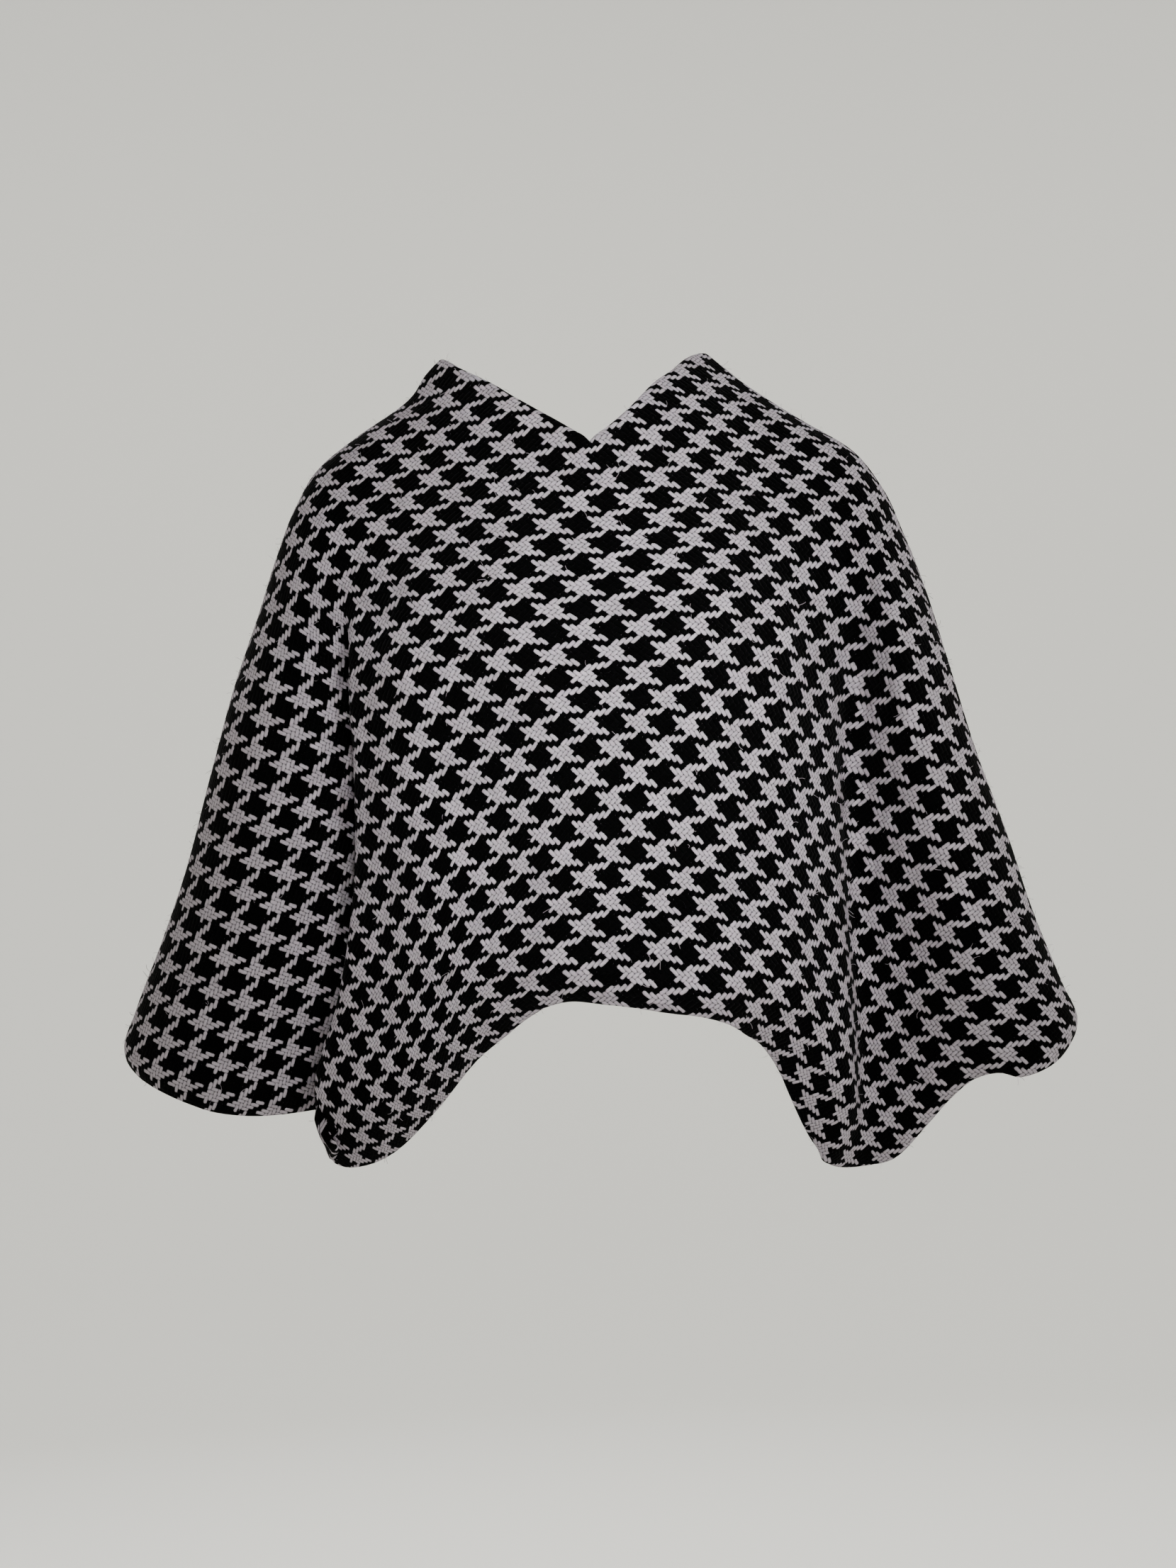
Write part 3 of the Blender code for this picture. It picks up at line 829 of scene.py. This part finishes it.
def add_node(tree, kind, inputs=None, **settings):
    """Adds a node. Inputs are values or sockets to link, by name or place."""
    node = tree.nodes.new(kind)
    for name, value in settings.items():
        setattr(node, name, value)
    for place, value in (inputs or {}).items():
        if isinstance(value, bpy.types.NodeSocket):
            tree.links.new(value, node.inputs[place])
        else:
            node.inputs[place].default_value = value
    return node


# %% The twill's rule, as steps of arithmetic
# A step is its name, its operation, and its operands: earlier steps or numbers. CHOOSE takes its second
# operand where the first is 0, and its third where it is 1. The places u and v count threads along the
# warp and along the weft, so i numbers the weft threads and j the warp threads. Twice a place, less
# one, runs from -1 at one edge of a float to 1 at the other.
THREADS_A_REPEAT = 8.0
LIGHT_THREADS = 4.0
LIGHT_WIDTH = 3.5
OVER = 2.0
HALF = 0.5
SIDE_POWER = 2.2
END_POWER = 5.0
FLOAT_EDGE = 1.25
ROUND_POWER = 0.5
LIGHT_GAIN = LIGHT_THREADS / LIGHT_WIDTH
DARK_GAIN = (THREADS_A_REPEAT - LIGHT_THREADS) / (THREADS_A_REPEAT - LIGHT_WIDTH)
LIGHT_START = (LIGHT_THREADS - LIGHT_WIDTH) / 2
COUNT_STEPS = (
    ("start", "SUBTRACT", "counted", LIGHT_START),
    ("inside", "FLOORED_MODULO", "start", THREADS_A_REPEAT),
    ("in_light", "MINIMUM", "inside", LIGHT_WIDTH),
    ("in_dark", "SUBTRACT", "inside", "in_light"),
    ("light_part", "MULTIPLY", "in_light", LIGHT_GAIN),
    ("even", "MULTIPLY_ADD", "in_dark", DARK_GAIN, "light_part"),
)
TWILL_STEPS = (
    ("i", "FLOOR", "u"),
    ("j", "FLOOR", "v"),
    ("part_u", "SUBTRACT", "u", "i"),
    ("part_v", "SUBTRACT", "v", "j"),
    ("i_and_j", "ADD", "i", "j"),
    ("shifted", "ADD", "i_and_j", 1.0),
    ("turn", "FLOORED_MODULO", "shifted", 2 * OVER),
    ("weft_on_top", "LESS_THAN", "turn", OVER - HALF),
    ("light_i", "LESS_THAN", "i", LIGHT_THREADS - HALF),
    ("light_j", "LESS_THAN", "j", LIGHT_THREADS - HALF),
    ("weft_run", "ADD", "turn", "part_v"),
    ("turn_late", "SUBTRACT", "turn", OVER),
    ("warp_run", "ADD", "turn_late", "part_u"),
    ("run", "CHOOSE", "weft_on_top", "warp_run", "weft_run"),
    ("side", "CHOOSE", "weft_on_top", "part_v", "part_u"),
    ("top", "CHOOSE", "weft_on_top", "light_j", "light_i"),
    ("under", "CHOOSE", "weft_on_top", "light_i", "light_j"),
    ("along", "MULTIPLY", "run", 1 / OVER),
    ("side_out", "MULTIPLY_ADD", "side", 2.0, -1.0),
    ("side_far", "ABSOLUTE", "side_out"),
    ("along_out", "MULTIPLY_ADD", "along", 2.0, -1.0),
    ("along_far", "ABSOLUTE", "along_out"),
    ("side_fall", "POWER", "side_far", SIDE_POWER),
    ("end_fall", "POWER", "along_far", END_POWER),
    ("fall", "ADD", "side_fall", "end_fall"),
    ("off_thread", "GREATER_THAN", "fall", FLOAT_EDGE),
    ("rest", "SUBTRACT", FLOAT_EDGE, "fall"),
    ("rest_up", "MAXIMUM", "rest", 0.0),
    ("round_top", "POWER", "rest_up", ROUND_POWER),
    ("light", "CHOOSE", "off_thread", "top", "under"),
)
TWILL_RESULTS = {
    "Light": "light",
    "Height": "round_top",
    "Across": "side_out",
    "Along": "along",
    "Weft": "weft_on_top",
}


# %% The twill as a group of nodes
CHOICE_PLACES = (0, 2, 3)


def follow(tree, steps, known):
    """Adds a node for each step, and keeps its result under the step's name."""
    for name, operation, *operands in steps:
        values = [known.get(operand, operand) for operand in operands]
        if operation == "CHOOSE":
            node = add_node(tree, "ShaderNodeMix", dict(zip(CHOICE_PLACES, values)), data_type="FLOAT")
        else:
            node = add_node(tree, "ShaderNodeMath", dict(enumerate(values)), operation=operation)
        known[name] = node.outputs[0]


def twill_group():
    """Thread counts in, and out: how light the thread on top is, its height and place along it."""
    tree = bpy.data.node_groups.new("twill", "ShaderNodeTree")
    tree.interface.new_socket("Threads", in_out="INPUT", socket_type="NodeSocketVector")
    for name in TWILL_RESULTS:
        tree.interface.new_socket(name, in_out="OUTPUT", socket_type="NodeSocketFloat")
    source = add_node(tree, "NodeGroupInput")
    place = add_node(tree, "ShaderNodeSeparateXYZ", {0: source.outputs["Threads"]})
    known = {}
    for name, counted in (("u", place.outputs["X"]), ("v", place.outputs["Y"])):
        known["counted"] = counted
        follow(tree, COUNT_STEPS, known)
        known[name] = known["even"]
    follow(tree, TWILL_STEPS, known)
    add_node(tree, "NodeGroupOutput", {name: known[step] for name, step in TWILL_RESULTS.items()})
    return tree


twill = twill_group()
print("twill group:", len(twill.nodes), "nodes")

# %% [markdown]
# ## The wool
#
# Black and pale lavender grey wool, spun thick and woven loosely. Wool has no gloss, so it is rough
# with a low specular level, and its loose fibres catch a little light at grazing angles, which is what
# sheen is for. No thread is perfectly straight, so two small noises shift the thread counts. Streaks
# run aslant along each thread because the yarn is twisted, and patches vary the shade from place to
# place. The hollows between floats are darker, as light hardly reaches them.

# %% The wool's colours, thread by thread
# The hollow colours are painted shade for the hollows between floats, which light hardly reaches.
PALE_THREAD = "#E5DBE5"
PALE_HOLLOW_SHADE = "#38333A"
DARK_THREAD = "#040405"
DARK_HOLLOW_SHADE = "#010101"
# A mix of colours takes its factor at place 0 and its colours at 6 and 7, and gives its result at 2.
MIX_FACTOR, MIX_FIRST, MIX_SECOND, MIX_COLOUR = 0, 6, 7, 2


def mix_colours(factor, first, second):
    """Inputs of a colour mix, for add_node."""
    return {MIX_FACTOR: factor, MIX_FIRST: first, MIX_SECOND: second}


def weave_at(tree, place):
    """The thread counts at a place in metres along the threads, and the twill's results there."""
    inputs = {0: place, "Scale": 1 / (THREAD_PITCH * MM)}
    threads = add_node(tree, "ShaderNodeVectorMath", inputs, operation="SCALE").outputs[0]
    weave = add_node(tree, "ShaderNodeGroup", {"Threads": threads}, node_tree=twill)
    return threads, weave.outputs


# %% The wool's material
# Each shift is the scale of its noise and how far it moves a thread, in metres.
SHIFTS = ((55.0, 0.0010), (620.0, 0.0008))
PLY_SLANT = 0.5
PLY_DRIFT = 0.35
STREAK_SCALE = 3.4
STREAK_RELIEF = 0.22
PATCH_SCALE = 45.0
FLOAT_HEIGHT = 0.0007


def wool_material(name):
    """Thick spun wool: dull and rough, with plump threads, hollows in painted shade and slanting streaks."""
    material, tree, shader = new_material(name)
    cut = add_node(tree, "ShaderNodeUVMap", uv_map="cut").outputs["UV"]
    place = cut
    for scale, amount in SHIFTS:
        inputs = {"Vector": cut, "Scale": scale, "Detail": 1.0}
        noise = add_node(tree, "ShaderNodeTexNoise", inputs).outputs["Color"]
        inputs = {0: noise, 1: (0.5, 0.5, 0.5)}
        centred = add_node(tree, "ShaderNodeVectorMath", inputs, operation="SUBTRACT").outputs[0]
        inputs = {0: centred, 1: (amount, amount, amount), 2: place}
        place = add_node(tree, "ShaderNodeVectorMath", inputs, operation="MULTIPLY_ADD").outputs[0]
    threads, weave = weave_at(tree, place)
    inputs = {0: weave["Across"], 1: PLY_SLANT, 2: weave["Along"]}
    slant = add_node(tree, "ShaderNodeMath", inputs, operation="MULTIPLY_ADD").outputs[0]
    inputs = {"X": slant, "Y": weave["Across"], "Z": weave["Weft"]}
    ply = add_node(tree, "ShaderNodeCombineXYZ", inputs).outputs[0]
    inputs = {0: threads, 1: (PLY_DRIFT, PLY_DRIFT, 0.0), 2: ply}
    ply = add_node(tree, "ShaderNodeVectorMath", inputs, operation="MULTIPLY_ADD").outputs[0]
    inputs = {"Vector": ply, "Scale": STREAK_SCALE, "Detail": 3.0, "Roughness": 0.6}
    streaks = add_node(tree, "ShaderNodeTexNoise", inputs).outputs["Fac"]
    inputs = {"Vector": cut, "Scale": PATCH_SCALE, "Detail": 2.0}
    patches = add_node(tree, "ShaderNodeTexNoise", inputs).outputs["Fac"]
    # The float's height mixes painted shade into its hollows; streaks and patches vary the yarn's own tone.
    shades = []
    for value, low, high, darkest, lightest in (
        (weave["Height"], 0.0, 1.0, 0.0, 0.9),
        (streaks, 0.3, 0.75, -0.28, 0.2),
        (patches, 0.35, 0.7, -0.06, 0.08),
    ):
        inputs = {"Value": value, "From Min": low, "From Max": high, "To Min": darkest, "To Max": lightest}
        shades.append(add_node(tree, "ShaderNodeMapRange", inputs).outputs[0])
    inputs = {0: shades[0], 1: shades[1]}
    shade = add_node(tree, "ShaderNodeMath", inputs, operation="ADD").outputs[0]
    inputs = {0: shade, 1: shades[2]}
    shade = add_node(tree, "ShaderNodeMath", inputs, operation="ADD", use_clamp=True).outputs[0]
    ends = []
    for dark, pale in ((DARK_HOLLOW_SHADE, PALE_HOLLOW_SHADE), (DARK_THREAD, PALE_THREAD)):
        inputs = mix_colours(weave["Light"], linear(dark), linear(pale))
        ends.append(add_node(tree, "ShaderNodeMix", inputs, data_type="RGBA").outputs[MIX_COLOUR])
    inputs = mix_colours(shade, *ends)
    colour = add_node(tree, "ShaderNodeMix", inputs, data_type="RGBA").outputs[MIX_COLOUR]
    tree.links.new(colour, shader.inputs["Base Color"])
    inputs = {0: streaks, 1: STREAK_RELIEF, 2: weave["Height"]}
    relief = add_node(tree, "ShaderNodeMath", inputs, operation="MULTIPLY_ADD").outputs[0]
    inputs = {"Height": relief, "Strength": 0.9, "Distance": FLOAT_HEIGHT}
    bump = add_node(tree, "ShaderNodeBump", inputs).outputs[0]
    tree.links.new(bump, shader.inputs["Normal"])
    for socket, value in (
        ("Roughness", 0.92),
        ("Specular IOR Level", 0.04),
        ("Sheen Weight", 0.02),
        ("Sheen Roughness", 0.5),
    ):
        shader.inputs[socket].default_value = value
    return material


for name, piece in cloth.items():
    wool = wool_material(f"{name}_houndstooth_wool")
    piece.data.materials.append(wool)
    print(wool.name, len(wool.node_tree.nodes), "nodes")

# %% [markdown]
# ## The nap
#
# Woven wool is never quite smooth: loose fibres stand off the floats and soften every outline. They are
# made with Geometry Nodes. Points are scattered over the panel, a short bent fibre stands on each, and
# each fibre keeps the place on the cloth where it is rooted, so it takes the colour of its own thread.
# A real wool fibre is about 0.03 mm thick, too fine to show. These are drawn 0.16 mm thick.

# %% A tree of nodes that grows fibres
# Lengths are metres, and the lean is radians.
FIRST_SEED = 7
NAP_INPUTS = (
    ("Fibres a square metre", "NodeSocketFloat", 9000.0),
    ("Length", "NodeSocketFloat", 0.0042),
    ("Radius", "NodeSocketFloat", 0.00008),
    ("Lean", "NodeSocketFloat", 1.15),
    ("Seed", "NodeSocketInt", FIRST_SEED),
)
# Where the middle and the tip of a fibre stand from its root, as shares of its length
FIBRE_POINTS = ((0.35, 0.0, 0.55), (0.0, 0.0, 1.0))
# The smallest and the largest fibre, as shares of the sizes above
FIBRE_SIZES = (0.35, 1.5)
SIZE_SEED = 14
# Lowest and highest value, and seed, of a fibre's turns: two leans and a turn about its root
FIBRE_TURNS = ((-1.0, 1.0, 11), (-1.0, 1.0, 12), (-math.pi, math.pi, 13))


def one_fibre(tree, source):
    """A short bent tube with three sides, its root at the origin and its tip straight above."""
    points = []
    for shares in FIBRE_POINTS:
        inputs = {0: shares, "Scale": source["Length"]}
        points.append(add_node(tree, "ShaderNodeVectorMath", inputs, operation="SCALE").outputs[0])
    inputs = {"Resolution": 2, "Start": (0.0, 0.0, 0.0), "Middle": points[0], "End": points[1]}
    curve = add_node(tree, "GeometryNodeCurveQuadraticBezier", inputs).outputs[0]
    inputs = {"Resolution": 3, "Radius": source["Radius"]}
    ring = add_node(tree, "GeometryNodeCurvePrimitiveCircle", inputs).outputs["Curve"]
    inputs = {"Curve": curve, "Profile Curve": ring, "Fill Caps": True}
    return add_node(tree, "GeometryNodeCurveToMesh", inputs).outputs[0]


def fibre_turn(tree, upright, lean):
    """A random turn for each fibre: two leans off upright, and a turn about its root."""
    # A random number takes its lowest and highest value at places 2 and 3, and comes out at 1.
    angles = []
    for low, high, seed in FIBRE_TURNS:
        inputs = {2: low, 3: high, "Seed": seed}
        angles.append(add_node(tree, "FunctionNodeRandomValue", inputs, data_type="FLOAT").outputs[1])
    leans = []
    for angle in angles[:2]:
        leans.append(add_node(tree, "ShaderNodeMath", {0: angle, 1: lean}, operation="MULTIPLY").outputs[0])
    inputs = {"X": leans[0], "Y": leans[1], "Z": angles[2]}
    turn = add_node(tree, "ShaderNodeCombineXYZ", inputs).outputs[0]
    inputs = {0: upright, 1: turn}
    return add_node(tree, "FunctionNodeRotateRotation", inputs, rotation_space="LOCAL").outputs[0]


def nap_tree(name, material):
    """Panel in, fibres out. The named inputs are the fibres' sizes and the seed."""
    tree = bpy.data.node_groups.new(name, "GeometryNodeTree")
    tree.interface.new_socket("Panel", in_out="INPUT", socket_type="NodeSocketGeometry")
    tree.interface.new_socket("Fibres", in_out="OUTPUT", socket_type="NodeSocketGeometry")
    for label, kind, value in NAP_INPUTS:
        tree.interface.new_socket(label, in_out="INPUT", socket_type=kind).default_value = value
    source = add_node(tree, "NodeGroupInput").outputs
    inputs = {
        "Mesh": source["Panel"],
        "Density": source["Fibres a square metre"],
        "Seed": source["Seed"],
    }
    scatter = add_node(tree, "GeometryNodeDistributePointsOnFaces", inputs, distribute_method="RANDOM")
    cut = add_node(tree, "GeometryNodeInputNamedAttribute", {"Name": "cut"}, data_type="FLOAT_VECTOR")
    inputs = {"Geometry": scatter.outputs["Points"], "Name": "root", "Value": cut.outputs["Attribute"]}
    points = add_node(tree, "GeometryNodeStoreNamedAttribute", inputs, data_type="FLOAT_VECTOR")
    fibre = one_fibre(tree, source)
    rotation = fibre_turn(tree, scatter.outputs["Rotation"], source["Lean"])
    inputs = {2: FIBRE_SIZES[0], 3: FIBRE_SIZES[1], "Seed": SIZE_SEED}
    size = add_node(tree, "FunctionNodeRandomValue", inputs, data_type="FLOAT").outputs[1]
    inputs = {"Points": points.outputs[0], "Instance": fibre, "Rotation": rotation, "Scale": size}
    placed = add_node(tree, "GeometryNodeInstanceOnPoints", inputs).outputs[0]
    real = add_node(tree, "GeometryNodeRealizeInstances", {0: placed}).outputs[0]
    inputs = {"Geometry": real, "Material": material}
    coloured = add_node(tree, "GeometryNodeSetMaterial", inputs).outputs[0]
    add_node(tree, "NodeGroupOutput", {"Fibres": coloured})
    return tree


# %% Grow the nap on each panel
def fibre_material(name):
    """Loose wool fibres: the colour of the thread at their root, without any weave of their own."""
    material, tree, shader = new_material(name)
    root = add_node(tree, "ShaderNodeAttribute", attribute_name="root").outputs["Vector"]
    weave = weave_at(tree, root)[1]
    inputs = mix_colours(weave["Light"], linear(DARK_THREAD), linear(PALE_THREAD))
    thread = add_node(tree, "ShaderNodeMix", inputs, data_type="RGBA").outputs[MIX_COLOUR]
    tree.links.new(thread, shader.inputs["Base Color"])
    shader.inputs["Roughness"].default_value = 0.7
    shader.inputs["Specular IOR Level"].default_value = 0.05
    return material


def grow_nap(name, panel, seed):
    """The fibres of one panel as a plain mesh."""
    tree = nap_tree(f"{name}_nap_tree", fibre_material(f"{name}_wool_fibres"))
    grower = put_in_scene(f"{name}_grower", panel.data)
    modifier = grower.modifiers.new("nap", "NODES")
    modifier.node_group = tree
    sockets = {item.name: item.identifier for item in tree.interface.items_tree}
    modifier[sockets["Seed"]] = seed
    grower.update_tag()
    ready = grower.evaluated_get(bpy.context.evaluated_depsgraph_get())
    mesh = bpy.data.meshes.new_from_object(ready)
    bpy.data.objects.remove(grower, do_unlink=True)
    return put_in_scene(f"{name}_nap", mesh)


naps = {name: grow_nap(name, piece, seed) for seed, (name, piece) in enumerate(cloth.items(), FIRST_SEED)}
for name, nap in naps.items():
    print(name, "nap:", sum(len(face.vertices) - 2 for face in nap.data.polygons), "triangles")

# %% [markdown]
# ## What stands for what
#
# Each panel of cloth takes the place of its plain CAD wall, which is hidden. Its size before it was worn
# is worked out, but nothing uses it.
# The nap rides along. Cloth has no joints, so everything rides on the one body, the root.


for name, piece in cloth.items():
    flat = PANELS[name]["flat"]
    width, length = flat.max(axis=(0, 1)) - flat.min(axis=(0, 1))
    length += 2 * TURN_DEPTH
    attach(piece, "root")
    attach(naps[name], "root")
    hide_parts(name)

# %% [markdown]
# ## A quiet room
#
# The floor is pale paper that curves up into a round wall, so that the cloth has the same plain ground
# from every side. One soft lamp stands in front, above and to the right, so cloth that turns away from
# the front falls into shade. Two narrow ones add a soft pool of light on the chest and above the hem.
# Others stand above and behind, and a ring of lamps overhead faces outwards and lights only the wall.

# %% Floor and wall in one sweep
FLOOR_Z = -1.35
FLOOR_MIDDLE = 0.001
FLOOR_RADIUS = 3.2
SWEEP_RADIUS = 1.6
SWEEP_STEPS = 16
WALL_TOP = 5.0
SWEEP_PARTS = 96
PAPER = "#A5A49E"


def paper_sweep():
    """A round floor that curves up into a wall, facing inwards."""
    profile = [(FLOOR_MIDDLE, FLOOR_Z), (FLOOR_RADIUS / 2, FLOOR_Z)]
    for step in range(SWEEP_STEPS + 1):
        angle = math.pi / 2 * step / SWEEP_STEPS
        radius = FLOOR_RADIUS + SWEEP_RADIUS * math.sin(angle)
        profile.append((radius, FLOOR_Z + SWEEP_RADIUS * (1 - math.cos(angle))))
    profile.append((FLOOR_RADIUS + SWEEP_RADIUS, WALL_TOP))
    points, faces = [], []
    for part in range(SWEEP_PARTS):
        angle = 2 * math.pi * part / SWEEP_PARTS
        points += [(r * math.cos(angle), r * math.sin(angle), z) for r, z in profile]
    rows = len(profile)
    for part in range(SWEEP_PARTS):
        near, far = part * rows, (part + 1) % SWEEP_PARTS * rows
        faces += [(near + k, near + k + 1, far + k + 1, far + k) for k in range(rows - 1)]
    mesh = bpy.data.meshes.new("paper_sweep")
    mesh.from_pydata(points, [], faces)
    mesh.shade_smooth()
    return put_in_scene("paper_sweep", mesh)


sweep = paper_sweep()
# Matt paper scatters light evenly, so it shows no highlight.
paper, _, paper_shader = new_material("matt_paper")
paper_shader.inputs["Base Color"].default_value = linear(PAPER)
paper_shader.inputs["Roughness"].default_value = 0.95
sweep.data.materials.append(paper)
sweep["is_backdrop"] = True
print("paper sweep:", len(sweep.data.polygons), "faces")

# %% Light
# Places and sizes are metres, power is watts and spread is degrees.
FULL_SPREAD = 180.0
LIGHT_COLUMNS = "name x y z aim_z size power spread"
LIGHTS = (
    ("window", 1.25, -2.0, 0.9, -0.19, 0.6, 18.0, FULL_SPREAD),
    ("chest_pool", 0.2, -2.35, 0.5, -0.06, 0.3, 0.25, 13.0),
    ("hem_pool", 0.2, -2.35, 0.3, -0.3, 0.3, 0.24, 12.0),
    ("top", 0.2, 0.3, 2.6, -0.19, 2.0, 3.0, FULL_SPREAD),
    ("behind", -0.6, 2.6, 1.2, -0.19, 1.6, 34.0, FULL_SPREAD),
)
AIM_X = 0.02
AIM_Y = -0.1
WALL_LAMPS = 6
WALL_LAMP_SIZE = 1.0
WALL_LAMP_Z = 1.3
WALL_LAMP_DIP = 0.4
BEHIND_Y = 0.1
BACK_WALL_POWER = 205.0
FRONT_WALL_POWER = 30.0
SKY = "#E4E8EA"
SKY_STRENGTH = 0.05


def area_lamp(name, place, aim, size, power, spread):
    """A square soft lamp that the camera doesn't see. A narrow spread makes a soft pool of light."""
    lamp = bpy.data.lights.new(name, "AREA")
    lamp.size = size
    lamp.energy = power
    lamp.spread = math.radians(spread)
    piece = put_in_scene(name, lamp)
    piece.location = place
    piece.rotation_euler = (Vector(aim) - Vector(place)).to_track_quat("-Z", "Y").to_euler()
    piece.visible_camera = False


for row in LIGHTS:
    light = dict(zip(LIGHT_COLUMNS.split(), row))
    place = (light["x"], light["y"], light["z"])
    aim = (AIM_X, AIM_Y, light["aim_z"])
    area_lamp(light["name"], place, aim, light["size"], light["power"], light["spread"])
for count in range(WALL_LAMPS):
    angle = 2 * math.pi * (count + 0.5) / WALL_LAMPS
    outward = np.array([math.cos(angle), math.sin(angle), 0.0])
    place = outward + [0.0, 0.0, WALL_LAMP_Z]
    power = BACK_WALL_POWER if outward[1] > BEHIND_Y else FRONT_WALL_POWER
    aim = place + outward - [0.0, 0.0, WALL_LAMP_DIP]
    area_lamp("wall_lamp", tuple(place), tuple(aim), WALL_LAMP_SIZE, power, FULL_SPREAD)
world = bpy.data.worlds.new("soft_sky")
bpy.context.scene.world = world
world.use_nodes = True
sky = world.node_tree.nodes["Background"]
sky.inputs["Color"].default_value = linear(SKY)
sky.inputs["Strength"].default_value = SKY_STRENGTH
print("lamps:", len(LIGHTS) + WALL_LAMPS)

# %% [markdown]
# ## The camera
#
# The camera stands 2.25 m in front, level, at the height of the middle of the picture, and is turned a
# little about its own axis. Its lens shows 1150 mm from top to bottom where the seams are.

# %% Camera
CAMERA_DISTANCE = 2.25
CAMERA_X = -0.010
CAMERA_Z = -0.245
FRAME_HEIGHT = 1.1502
SENSOR = 36.0
ROLL_DEGREES = -2.1
camera_data = bpy.data.cameras.new("camera")
camera_data.sensor_fit = "VERTICAL"
camera_data.sensor_height = SENSOR
camera_data.sensor_width = SENSOR
camera_data.lens = SENSOR * CAMERA_DISTANCE / FRAME_HEIGHT
camera = put_in_scene("camera", camera_data)
camera.rotation_mode = "XYZ"
camera.location = (CAMERA_X, -CAMERA_DISTANCE, CAMERA_Z)
level = Matrix.Rotation(math.radians(90), 3, "X")
roll = Matrix.Rotation(math.radians(ROLL_DEGREES), 3, "Z")
camera.rotation_euler = (level @ roll).to_euler("XYZ")
bpy.context.scene.camera = camera
print("lens:", round(camera_data.lens, 1), "mm")

# %% Sizes, and the end
sizes = {
    "cad": [list(corner) for corner in cad_box],
    "visual": [list(corner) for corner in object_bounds()],
}
past = np.abs(np.array(sizes["visual"]) - np.array(sizes["cad"])).max(axis=0) / MM
print("the cloth ends at most", past.round(1), "mm from the packed box along X, Y and Z")
